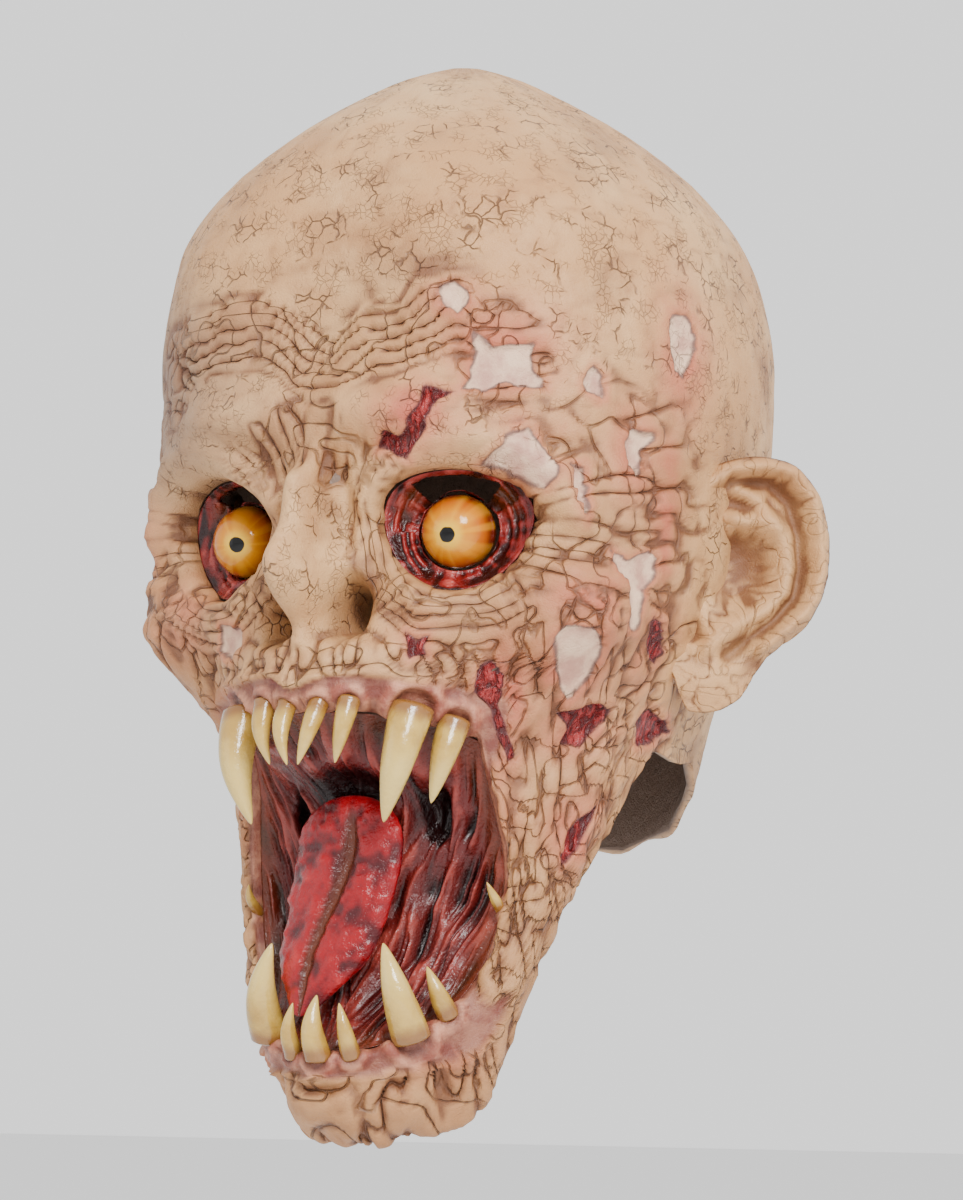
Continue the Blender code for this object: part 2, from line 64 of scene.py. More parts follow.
# %% Sizes and sections of the head, in metres
HEAD_WIDTH = 0.190
HEAD_DEPTH = 0.232
MASK_HEIGHT = 0.356
WALL = 0.0025
GAP = 0.0003
HALF_WIDTH = HEAD_WIDTH / 2
HALF_DEPTH = HEAD_DEPTH / 2
HEM_RAGGED = 0.0025
HEM_WAVES = (0.11, 0.27)
TURNS = (0, 38, 62, 90, 180)
SECTIONS = (
    # reach: front, corner, cheek, side, back     drop: front, corner, cheek, side, back
    ((0.000, 0.000, 0.000, 0.000, 0.000), (0.000, 0.000, 0.000, 0.000, 0.000)),
    ((0.060, 0.060, 0.060, 0.060, 0.060), (0.002, 0.002, 0.002, 0.002, 0.002)),
    ((0.200, 0.200, 0.200, 0.200, 0.200), (0.015, 0.015, 0.015, 0.015, 0.015)),
    ((0.380, 0.385, 0.390, 0.390, 0.390), (0.041, 0.041, 0.041, 0.041, 0.041)),
    ((0.550, 0.570, 0.580, 0.580, 0.580), (0.074, 0.074, 0.074, 0.074, 0.074)),
    ((0.690, 0.775, 0.810, 0.810, 0.810), (0.129, 0.129, 0.129, 0.129, 0.129)),
    ((0.750, 0.890, 0.945, 0.950, 0.950), (0.191, 0.191, 0.191, 0.191, 0.191)),
    ((0.785, 0.935, 1.000, 1.015, 1.015), (0.284, 0.284, 0.284, 0.284, 0.284)),
    ((0.850, 0.930, 0.990, 1.000, 1.005), (0.344, 0.344, 0.348, 0.352, 0.360)),
    ((0.800, 0.880, 0.995, 0.990, 0.980), (0.388, 0.388, 0.390, 0.392, 0.403)),
    ((0.765, 0.835, 1.005, 0.975, 0.950), (0.440, 0.440, 0.440, 0.438, 0.449)),
    ((0.800, 0.860, 0.990, 0.935, 0.885), (0.528, 0.528, 0.523, 0.500, 0.540)),
    ((0.870, 0.800, 0.900, 0.880, 0.810), (0.590, 0.590, 0.578, 0.548, 0.603)),
    ((0.830, 0.710, 0.795, 0.830, 0.770), (0.695, 0.690, 0.652, 0.579, 0.655)),
    ((0.820, 0.695, 0.740, 0.795, 0.755), (0.790, 0.780, 0.715, 0.603, 0.685)),
    ((0.790, 0.695, 0.725, 0.780, 0.745), (0.888, 0.874, 0.760, 0.615, 0.700)),
    ((0.750, 0.625, 0.685, 0.770, 0.740), (0.949, 0.935, 0.785, 0.623, 0.710)),
    ((0.620, 0.540, 0.650, 0.760, 0.735), (0.994, 0.972, 0.802, 0.630, 0.718)),
    ((0.480, 0.480, 0.620, 0.755, 0.733), (0.955, 0.927, 0.806, 0.636, 0.724)),
    ((0.400, 0.440, 0.600, 0.750, 0.730), (0.834, 0.820, 0.800, 0.642, 0.730)),
)
BROW_SECTION = 8
CHIN_SECTION = 17
LAST_SECTION = len(SECTIONS) - 1
print("sections:", len(SECTIONS))


def smooth_curve(keys, values, at, flat_ends):
    """Reads each row of values at its own point of at, on a curve through the keys that never overshoots."""
    keys = np.asarray(keys, float)
    rise = np.diff(values, axis=1) / np.diff(keys)
    both = rise[:, :-1] * rise[:, 1:]
    level = both <= 0
    middle = np.where(level, 0, 2 * both / np.where(level, 1, rise[:, :-1] + rise[:, 1:]))
    ends = 0 if flat_ends else 1
    slopes = np.concatenate([rise[:, :1] * ends, middle, rise[:, -1:] * ends], axis=1)
    left = np.clip(np.searchsorted(keys, at, side="right") - 1, 0, len(keys) - 2)
    span = keys[left + 1] - keys[left]
    f = (at - keys[left]) / span
    row = np.arange(len(at)) if len(values) > 1 else 0
    return (
        values[row, left] * (2 * f**3 - 3 * f**2 + 1)
        + values[row, left + 1] * (3 * f**2 - 2 * f**3)
        + span * (slopes[row, left] * (f**3 - 2 * f**2 + f) + slopes[row, left + 1] * (f**3 - f**2))
    )


def base_reach_and_drop(turn, section):
    """Reach share and drop share of the plain head at each turn, in degrees, and section number."""
    keys = np.arange(len(SECTIONS))
    answers = []
    for column in (0, 1):
        table = np.array([row[column] for row in SECTIONS], float).T
        at_turns = [smooth_curve(keys, one_turn[None], section, False) for one_turn in table]
        answers.append(smooth_curve(TURNS, np.stack(at_turns, axis=1), np.abs(turn), True))
    return answers


def section_at(turn, drop):
    """Section number, with its fraction, at which the plain head has this drop share on this side."""
    sections = np.linspace(0, CHIN_SECTION - 1, 600)
    drops = base_reach_and_drop(np.full(len(sections), float(turn)), sections)[1]
    return float(np.interp(drop, drops, sections))


def turn_at(across, drop):
    """Turn, in degrees, at which the plain head is this far from the middle plane at this drop share."""
    turns = np.linspace(0, 85, 400)
    sections = np.array([section_at(t, drop) for t in turns[::20]])
    sections = np.interp(turns, turns[::20], sections)
    reach = base_reach_and_drop(turns, sections)[0]
    return float(np.interp(across, reach * HALF_WIDTH * np.sin(np.radians(turns)), turns))


def opening(name, across, drop, width, height, band, roll, square_top):
    """An opening in the skin: its centre, half sizes and rim, in turns and section numbers."""
    share = drop / MASK_HEIGHT
    half = height / 2 / MASK_HEIGHT
    inner, outer = turn_at(max(across - width / 2, 0), share), turn_at(across + width / 2, share)
    turn = (inner + outer) / 2 if across else 0
    half_turn = (outer - inner) / 2 if across else outer
    top, bottom = section_at(turn, share - half), section_at(turn, share + half)
    return {
        "name": name,
        "turn": turn,
        "half_turn": half_turn,
        "section": (top + bottom) / 2,
        "half_section": (bottom - top) / 2,
        "band": band,
        "roll": roll,
        "square_top": square_top,
    }

# %% [markdown]
# ## Where the openings are
#
# The mask is open at the eyes and the mouth. In the unrolled grid of turns and sections each opening is a
# square, and drawing the squares round makes the edge loops follow the rims, so the skin can be cut along a
# loop and rolled in at its lip without a jagged edge.

# %% Eye and mouth openings
EYE_SPACING = 0.087
EYE_DROP = 0.161
SOCKET_WIDTH = 0.045
SOCKET_HEIGHT = 0.038
SOCKET_BAND = 0.10
SOCKET_ROLL = 0.006
SOCKET_AIM = math.radians(22)
MOUTH_WIDTH = 0.092
MOUTH_HEIGHT = 0.107
MOUTH_DROP = 0.271
LIP_BAND = 0.10
LIP_ROLL = 0.005
UPPER_LIP_SQUARE = 0.45
WARP_REACH = 1.45
EYE = opening("eye", EYE_SPACING / 2, EYE_DROP, SOCKET_WIDTH, SOCKET_HEIGHT, SOCKET_BAND, SOCKET_ROLL, 0)
MOUTH = opening("mouth", 0, MOUTH_DROP, MOUTH_WIDTH, MOUTH_HEIGHT, LIP_BAND, LIP_ROLL, UPPER_LIP_SQUARE)
AIMS = {"eye": SOCKET_AIM, "mouth": 0}
print("eye centre at turn", round(EYE["turn"], 1))
print("mouth half width in degrees", round(MOUTH["half_turn"], 1))

# %% Large swellings and hollows of the smooth skin
RELIEF = (
    # name, turn, drop, half_turn, half_drop, push, edge
    ("brow_middle", 24, 0.352, 13, 0.024, 0.045, 1.0),
    ("brow_outer", 47, 0.372, 9, 0.034, 0.020, 1.0),
    ("brow_valley", 0, 0.318, 5, 0.030, -0.025, 1.0),
    ("nose_bridge", 0, 0.440, 5.0, 0.060, 0.135, 1.3),
    ("nose_tip", 0, 0.496, 6.0, 0.036, 0.140, 1.3),
    ("nose_flank", 9, 0.470, 7, 0.040, 0.020, 1.0),
    ("nostril", 9.6, 0.518, 4.6, 0.026, -0.130, 1.6),
    ("eye_bag", 32, 0.512, 16, 0.016, 0.020, 1.0),
    ("cheekbone", 57, 0.530, 12, 0.050, 0.060, 1.3),
    ("cheek_hollow", 58, 0.640, 11, 0.045, -0.035, 1.0),
    ("temple", 80, 0.415, 10, 0.060, -0.015, 1.0),
    ("muzzle", 0, 0.574, 26, 0.028, 0.030, 1.4),
    ("lower_gum", 0, 0.905, 26, 0.022, 0.020, 1.2),
    ("chin", 0, 0.960, 22, 0.025, 0.025, 1.2),
)
print("large swellings and hollows:", len(RELIEF))


def square_to_round(a, b, square_top):
    """Turns square rings round the middle into round ones, so that edge loops follow an opening's rim."""
    ring = np.maximum(np.abs(a), np.abs(b))
    safe = np.maximum(ring, 1e-9)
    p, q = a / safe, b / safe
    round_p, round_q = p * np.sqrt(1 - q * q / 2), q * np.sqrt(1 - p * p / 2)
    straight = np.clip((ring - 1) / (WARP_REACH - 1), 0, 1)
    straight = np.maximum(straight * straight * (3 - 2 * straight), square_top * np.clip(-q, 0, 1))
    new_a = ring * (round_p * (1 - straight) + p * straight)
    new_b = ring * (round_q * (1 - straight) + q * straight)
    return new_a, new_b, ring


def surface(turn, section, rings):
    """Points of the outer skin at each turn and section number, rolled in near each opening's rim."""
    side = np.where(turn < 0, -1.0, 1.0)
    turn = np.abs(turn)
    reach, drop = base_reach_and_drop(turn, section)
    under = np.clip((section - CHIN_SECTION) / 1.2, 0, 1)
    push = np.zeros(len(turn))
    for _, at_turn, at_drop, half_turn, half_drop, height, edge in RELIEF:
        away = ((turn - at_turn) / half_turn) ** 2 + ((drop - at_drop) / half_drop) ** 2
        push += height * HALF_DEPTH * np.exp(-(away**edge)) * (1 - under)
    angle = np.radians(turn)
    x = (reach * HALF_WIDTH + push) * np.sin(angle)
    y = -(reach * HALF_DEPTH + push) * np.cos(angle)
    z = WALL - drop * MASK_HEIGHT
    waves = sum(np.sin(turn * pace + 9 * pace) for pace in HEM_WAVES) / len(HEM_WAVES)
    z += HEM_RAGGED * waves * np.clip(section - LAST_SECTION + 1, 0, 1)
    for hole in (EYE, MOUTH):
        aim = AIMS[hole["name"]]
        depth = np.clip(1 - (rings[hole["name"]] - 1) / hole["band"], 0, 1) ** 2 * hole["roll"]
        x -= depth * math.sin(aim)
        y += depth * math.cos(aim)
    return np.stack([side * x, y, z], axis=1)


def drawn_round(hole, turn, section):
    """Turn, section and ring number of the grid's points once it is drawn round this opening."""
    a, b = (turn - hole["turn"]) / hole["half_turn"], (section - hole["section"]) / hole["half_section"]
    a, b, ring = square_to_round(a, b, hole["square_top"])
    near = ring < WARP_REACH
    turn = np.where(near, hole["turn"] + a * hole["half_turn"], turn)
    return turn, np.where(near, hole["section"] + b * hole["half_section"], section), ring


def stations(stops, steps):
    """Numbers from the first stop to the last, with steps between each two no longer than asked."""
    runs = [np.linspace(a, b, max(1, math.ceil((b - a) / n - 0.2)), endpoint=False)
            for a, b, n in zip(stops[:-1], stops[1:], steps)]
    return np.concatenate([*runs, [stops[-1]]])

# %% [markdown]
# ## A fine grid over the head
#
# Carving needs points close together where there is something to carve. create_grid gives a flat sheet, and
# each of its points is then moved to its own turn and section. Rows and columns are a little over a
# millimetre apart on the face and three times that at the back, where the skull is smooth.

# %% Rows and columns of the fine skin
MM = 0.001
RIM_BAND_EDGE = 1.1
RIM_SHARE = 1.001
FACE_STOPS = [0, EYE["turn"] - EYE["half_turn"], MOUTH["half_turn"], MOUTH["half_turn"] * RIM_BAND_EDGE]
FACE_STOPS += [EYE["turn"] + EYE["half_turn"], EYE["turn"] + EYE["half_turn"] * RIM_BAND_EDGE, 68, 100, 180]
FACE_STEPS = [0.76] * 6 + [1.2, 3.0]
ROW_STOPS = [0, 5]
for hole in (EYE, MOUTH):
    for edge in (-RIM_BAND_EDGE, -1, 1, RIM_BAND_EDGE):
        ROW_STOPS.append(hole["section"] + hole["half_section"] * edge)
ROW_STOPS += [CHIN_SECTION, LAST_SECTION]
ROW_STEPS = [0.3, 0.053, 0.026, 0.05, 0.026, 0.043, 0.042, 0.052, 0.042, 0.06, 0.13]


def both_sides(half):
    """Turns of one side with the same turns of the other side before them."""
    return np.concatenate([-half[:0:-1], half])


def placed_grid(turns, sections):
    """A sheet to be laid on the head, each point's turn and section, and its ring round each opening."""
    sheet = bmesh.new()
    bmesh.ops.create_grid(sheet, x_segments=len(turns) - 1, y_segments=len(sections) - 1, size=1)
    flat = np.array([v.co[:2] for v in sheet.verts])
    column = np.round((flat[:, 0] + 1) / 2 * (len(turns) - 1)).astype(int)
    row = np.round((1 - flat[:, 1]) / 2 * (len(sections) - 1)).astype(int)
    side = np.where(turns[column] < 0, -1.0, 1.0)
    turn, section, rings = np.abs(turns[column]), sections[row].astype(float), {}
    for hole in (EYE, MOUTH):
        turn, section, rings[hole["name"]] = drawn_round(hole, turn, section)
    return sheet, side * turn, section, rings


def put_points(sheet, points):
    """Moves every point of a sheet to its new place."""
    for vertex, point in zip(sheet.verts, points):
        vertex.co = point


# %% [markdown]
# ## Bones under the skin
#
# Bone under the skin comes before wrinkles. The brow rolls, the thin bony nose, the pits of the nostrils and
# the bags under the eyes are lines or ovals on the unrolled face, in millimetres across from the middle line
# and down from the crown. The inner side of the skin gets the same forms, so that the wall keeps its
# thickness over the deep ones.

# %% Bones and hollows
DEGREE_MM = 1.65
HEIGHT_MM = MASK_HEIGHT * 1000


def flat_place(turn, drop):
    """Turn in degrees and drop share as millimetres across and down the unrolled face."""
    return np.array([turn * DEGREE_MM, drop * HEIGHT_MM])


def path_distance(points, path):
    """How far each flat point is from a line of straight runs."""
    least = np.full(len(points), 1e9)
    for start, end in zip(np.array(path[:-1], float), np.array(path[1:], float)):
        run = end - start
        share = np.clip(((points - start) @ run) / (run @ run), 0, 1)
        least = np.minimum(least, np.linalg.norm(points - start - share[:, None] * run, axis=1))
    return least


RIDGES = (
    # name, height and half width in millimetres, edge, path of (turn, drop share)
    ("brow_roll", 5.2, 5.6, 2.4,
     ((13, 0.425), (19, 0.405), (27, 0.384), (36, 0.377), (45, 0.385), (52, 0.408), (55, 0.44))),
    ("brow_corner", 1.5, 4.0, 2.0, ((52, 0.408), (56, 0.45), (55, 0.49))),
    ("under_eye", 1.8, 4.2, 2.0, ((20, 0.478), (25, 0.517), (35, 0.532), (46, 0.520), (53, 0.49))),
    ("nose_bone", 4.6, 4.0, 3.0, ((0.6, 0.408), (0.6, 0.44), (0.4, 0.50), (0.2, 0.545))),
    ("nose_foot", 1.2, 4.0, 2.0, ((0, 0.553), (7, 0.563), (12, 0.555))),
    ("nostril_wing", 1.6, 2.4, 2.0, ((4.6, 0.500), (4.4, 0.525), (5.5, 0.55))),
    ("nostril_lid", 3.0, 3.0, 2.0, ((5, 0.485), (9, 0.482), (13.5, 0.495))),
)
PITS = (
    # name, turn, drop, half turn, half drop, push in millimetres, edge
    ("nostril", 8.6, 0.526, 4.4, 0.026, -8.5, 3.0),
    ("nose_side", 6.5, 0.455, 3.4, 0.040, -2.6, 1.0),
    ("brow_dent", 0, 0.375, 4.0, 0.030, -2.6, 1.0),
    ("inner_corner", 15, 0.455, 4, 0.03, -1.5, 1.0),
)


def bones(turn, points):
    """Extra push of the skin in metres at each point, outwards from the head's middle line."""
    drop = (WALL - points[:, 2]) / MASK_HEIGHT
    flat = np.stack([np.abs(turn) * DEGREE_MM, drop * HEIGHT_MM], axis=1)
    push = np.zeros(len(turn))
    for _, height, half_width, edge, path in RIDGES:
        line = [flat_place(*spot) for spot in path]
        push += height * np.exp(-((path_distance(flat, line) / half_width) ** edge))
    for _, at_turn, at_drop, half_turn, half_drop, height, edge in PITS:
        away = ((np.abs(turn) - at_turn) / half_turn) ** 2 + ((drop - at_drop) / half_drop) ** 2
        push += height * np.exp(-(away**edge))
    return push * MM


def head_points(turn, section, rings):
    """The smooth head with its bones. Under the jaw there are none."""
    points = surface(turn, section, rings)
    push = bones(turn, points) * (1 - np.clip((section - CHIN_SECTION) / 0.8, 0, 1))
    angle = np.radians(turn)
    points[:, 0] += push * np.sin(angle)
    points[:, 1] -= push * np.cos(angle)
    return points


fine_turns, fine_sections = both_sides(stations(FACE_STOPS, FACE_STEPS)), stations(ROW_STOPS, ROW_STEPS)
skin, turn, section, rings = placed_grid(fine_turns, fine_sections)
smooth_skin = head_points(turn, section, rings)
print("columns and rows of the fine skin:", len(fine_turns), len(fine_sections))


# %% Which way the skin faces
def facing(sheet, points):
    """Outward direction at each point of the smooth skin."""
    put_points(sheet, points)
    sheet.normal_update()
    out = np.array([v.normal[:] for v in sheet.verts])
    middle = out[np.argmin(np.abs(turn) + np.abs(section - BROW_SECTION))]
    return out * (-1 if middle[1] > 0 else 1)


outward = facing(skin, smooth_skin)
drop_share = (WALL - smooth_skin[:, 2]) / MASK_HEIGHT
side_of_face = np.where(turn < 0, -1.0, 1.0)
face_mm = np.stack([turn * DEGREE_MM, drop_share * HEIGHT_MM], axis=1)
half_mm = np.abs(face_mm * [1, 0]) + face_mm * [0, 1]
under_jaw = np.clip((section - CHIN_SECTION) / 0.8, 0, 1)
print("skin height in millimetres:", round(face_mm[:, 1].max()))

# %% [markdown]
# ## Random marks that repeat each run
#
# Wrinkles never repeat, but the script has to give the same mask every time. A small function gives every
# square of a sheet its own fixed number, and another blends those numbers into soft random heights.


# %% Soft noise
def shuffled(cell, seed):
    """A fixed number between 0 and 1 for each whole-numbered square."""
    mixed = np.full(len(cell), seed * 7919, dtype=np.int64)
    for column, stride in zip(cell.T, (73856093, 19349663, 83492791)):
        mixed ^= column * stride
    mixed = (mixed ^ (mixed >> 13)) * 1274126177 & 0x7FFFFFFF
    mixed = (mixed ^ (mixed >> 15)) * 668265263 & 0x7FFFFFFF
    return (mixed % 65521) / 65521


def soft_noise(points, seed):
    """Smooth heights between -1 and 1, their bumps about one unit apart."""
    cell = np.floor(points).astype(np.int64)
    f = points - cell
    f = f * f * (3 - 2 * f)
    total = np.zeros(len(points))
    for corner in product((0, 1), repeat=points.shape[1]):
        share = np.prod(np.where(corner, f, 1 - f), axis=1)
        total += share * shuffled(cell + np.array(corner), seed)
    return total * 2 - 1


def smooth_step(low, high, value):
    """0 below low, 1 above high and an even slope between."""
    f = np.clip((value - low) / (high - low), 0, 1)
    return f * f * (3 - 2 * f)


def pair_noise(points, seed):
    """Two soft heights for each point, to push it across and down."""
    return np.stack([soft_noise(points, seed), soft_noise(points, seed + 1)], axis=1)


wander = pair_noise(face_mm / 19, 3)
ripple = pair_noise(face_mm / 7, 5)
print("wander of the creases, least and most:", round(wander.min(), 2), round(wander.max(), 2))

# %% [markdown]
# ## Carving the wrinkles
#
# Each part of the face creases its own way: level folds on the forehead, arcs round the eyes, rays beside
# them, upright pleats on the lip, blocks on the cheek and jaw. A crease is where a soft random height passes
# through zero, so each zone stretches that noise along its own direction, and where zones meet their heights
# are mixed before the creases are read, so that the lines run on from one zone into the next. The same height
# is kept on the mesh: the paint reads it later and draws a thin dark line in the bottom of every crease.


# %% Zones of creases
def lines_of(along, between, length, spacing, seed):
    """A height that passes zero along lines about one spacing apart, each some lengths long."""
    laid = np.stack([along / length, between / spacing], axis=1)
    return soft_noise(laid, seed) + 0.35 * soft_noise(laid * [1.7, 1.9] + 7.3, seed + 1)


def oval(centre_turn, centre_drop, half_turn, half_drop, soft=0.35):
    """1 inside an oval on both sides of the face, fading to 0 at its border."""
    off_turn, off_drop = (np.abs(turn) - centre_turn) / half_turn, (drop_share - centre_drop) / half_drop
    away = np.sqrt(off_turn**2 + off_drop**2)
    return 1 - smooth_step(1 - soft, 1 + soft, away)


across, down = face_mm[:, 0] + wander[:, 0] * 3, face_mm[:, 1] + wander[:, 1] * 3
middle_dip = 15 * np.exp(-(((across - 6) / 24) ** 2)) + 6 * np.exp(-(((across + 55) / 12) ** 2))
fold_line = down - middle_dip + ripple[:, 1] * 0.9
eye_out, eye_down = half_mm[:, 0] - EYE["turn"] * DEGREE_MM, face_mm[:, 1] - EYE_DROP * 1000
eye_away = np.hypot(eye_out, eye_down * 1.05) + wander[:, 1] * 1.5 + ripple[:, 0] * 0.8
eye_angle = np.arctan2(eye_down, eye_out)

forehead = smooth_step(80, 88, fold_line) * (1 - smooth_step(102, 110, fold_line))
forehead = forehead * (1 - smooth_step(33, 42, np.abs(turn)))
forehead_end = oval(43, 0.30, 9, 0.05) * (1 - forehead)
frown = oval(0, 0.375, 15, 0.042, 0.25) * (1 - forehead)
eye_near = (1 - smooth_step(33, 44, eye_away)) * (1 - forehead) * (1 - frown)
arcs = eye_near * np.maximum(smooth_step(0.55, 0.95, eye_angle), smooth_step(2.0, 2.5, np.abs(eye_angle)))
rays = np.clip(oval(66, 0.43, 19, 0.115) - arcs, 0, 1)
lip = oval(0, 0.578, 40, 0.034) * (1 - arcs)
cheek = np.clip(oval(62, 0.60, 34, 0.15) + oval(48, 0.82, 32, 0.24), 0, 1)
cheek = cheek * (1 - rays) * (1 - arcs) * (1 - lip)
chin = smooth_step(0.885, 0.93, drop_share) * (1 - smooth_step(34, 46, np.abs(turn)))
cheek = np.clip(cheek - chin, 0, 1)
plain = np.clip(1 - forehead - forehead_end - frown - arcs - rays - lip - cheek - chin, 0, 1)

slant = side_of_face * 0.35
forehead_lines = np.sin(np.pi * (fold_line + ripple[:, 1] * 0.8) / 4.3) * 0.9
frown_lines = lines_of(down, across + np.sign(across) * (down - 130) * 0.35, 22, 4.2, 104)
arc_lines = np.sin(np.pi * eye_away / 3.9 + wander[:, 0]) * 0.8
ray_lines = lines_of(eye_away, eye_angle * 34 + down * 0.25, 19, 4.6, 107)
end_lines = lines_of(across, fold_line, 12, 4.0, 102)
cheek_lines = lines_of(down + across * slant, across - down * slant * 0.5, 13, 4.6, 111)
ZONES = (
    # share of the zone, first lines, crossing lines, depth in millimetres of both, and how dark the crease is
    (forehead, forehead_lines, lines_of(down, across, 9, 7, 101), 1.5, 0.15, 1.0),
    (forehead_end, end_lines, lines_of(down, across, 8, 6, 103), 0.9, 0.4, 0.9),
    (frown, frown_lines, lines_of(across, down, 9, 7, 105), 1.3, 0.3, 0.9),
    (arcs, arc_lines, lines_of(eye_away, eye_angle * 26, 9, 6, 106), 0.9, 0.3, 0.75),
    (rays, ray_lines, lines_of(eye_angle * 34, eye_away, 8, 6, 108), 1.1, 0.7, 0.8),
    (lip, lines_of(down, across, 13, 3.8, 109), lines_of(across, down, 9, 5, 110), 1.2, 0.5, 0.8),
    (cheek, cheek_lines, lines_of(across, down, 8, 5, 112), 1.1, 0.8, 0.9),
    (chin, lines_of(down, across, 15, 7.0, 113), lines_of(across, down, 12, 8, 114), 2.2, 1.2, 1.0),
    (plain, lines_of(across, down, 16, 9, 115), lines_of(down, across, 14, 9, 116), 0.10, 0.05, 0.12),
)
total = sum(row[0] for row in ZONES) + 1e-9
fold_a = sum(row[0] * row[1] for row in ZONES) / total
fold_b = sum(row[0] * row[2] for row in ZONES) / total
depth_a, depth_b, ink = (sum(row[0] * row[k] for row in ZONES) / total for k in (3, 4, 5))
patchy = 0.65 + 0.5 * soft_noise(face_mm / 11, 8)
FOLD_ROUNDING = 0.6


def pillow(height, width):
    """1 on top of a fold and 0 in its crease."""
    return np.clip(np.abs(height) / width, 0, 1) ** FOLD_ROUNDING


carved = depth_a * (pillow(fold_a, 0.5) - 0.75) * np.clip(patchy + 0.3, 0.4, 1.2)
carved += depth_b * (pillow(fold_b, 0.35) - 0.75) * np.clip(patchy, 0, 1.2)
lumps = 0.5 * np.clip(1 - plain, 0, 1) * soft_noise(face_mm / 9, 9)
carved += lumps + 0.35 * plain * soft_noise(face_mm / 26, 10)
CALM_BROW = ((14, 0.43), (20, 0.412), (28, 0.392), (37, 0.386), (46, 0.394), (52, 0.418), (54, 0.45))


def near_path(path, half_width):
    """1 along a line on both sides of the face, 0 away from it."""
    line = [flat_place(*spot) for spot in path]
    return np.exp(-((path_distance(half_mm, line) / half_width) ** 4))


smooth_bone = near_path(RIDGES[3][4], 5.5)
brow_smooth = near_path(CALM_BROW, 4.2)
calm = np.clip(1 - 0.95 * smooth_bone - 0.7 * brow_smooth, 0, 1)
RELIEF_GAIN, DEEPEST_MM, HIGHEST_MM = 1.8, -1.9, 1.8
carved, ink = np.clip(carved * calm * RELIEF_GAIN, DEEPEST_MM, HIGHEST_MM), ink * calm
print("deepest and highest carving in millimetres:", round(carved.min(), 2), round(carved.max(), 2))

# %% [markdown]
# ## Wounds and bare bone
#
# The skin is torn open in twenty places. Each tear is a ring of corners on the unrolled face. The distance to
# that ring, negative inside, does three jobs: it presses the middle in, it lifts a thin lip round the edge,
# and it is kept on the mesh for the paint, which needs a sharp border between skin, bone and flesh.

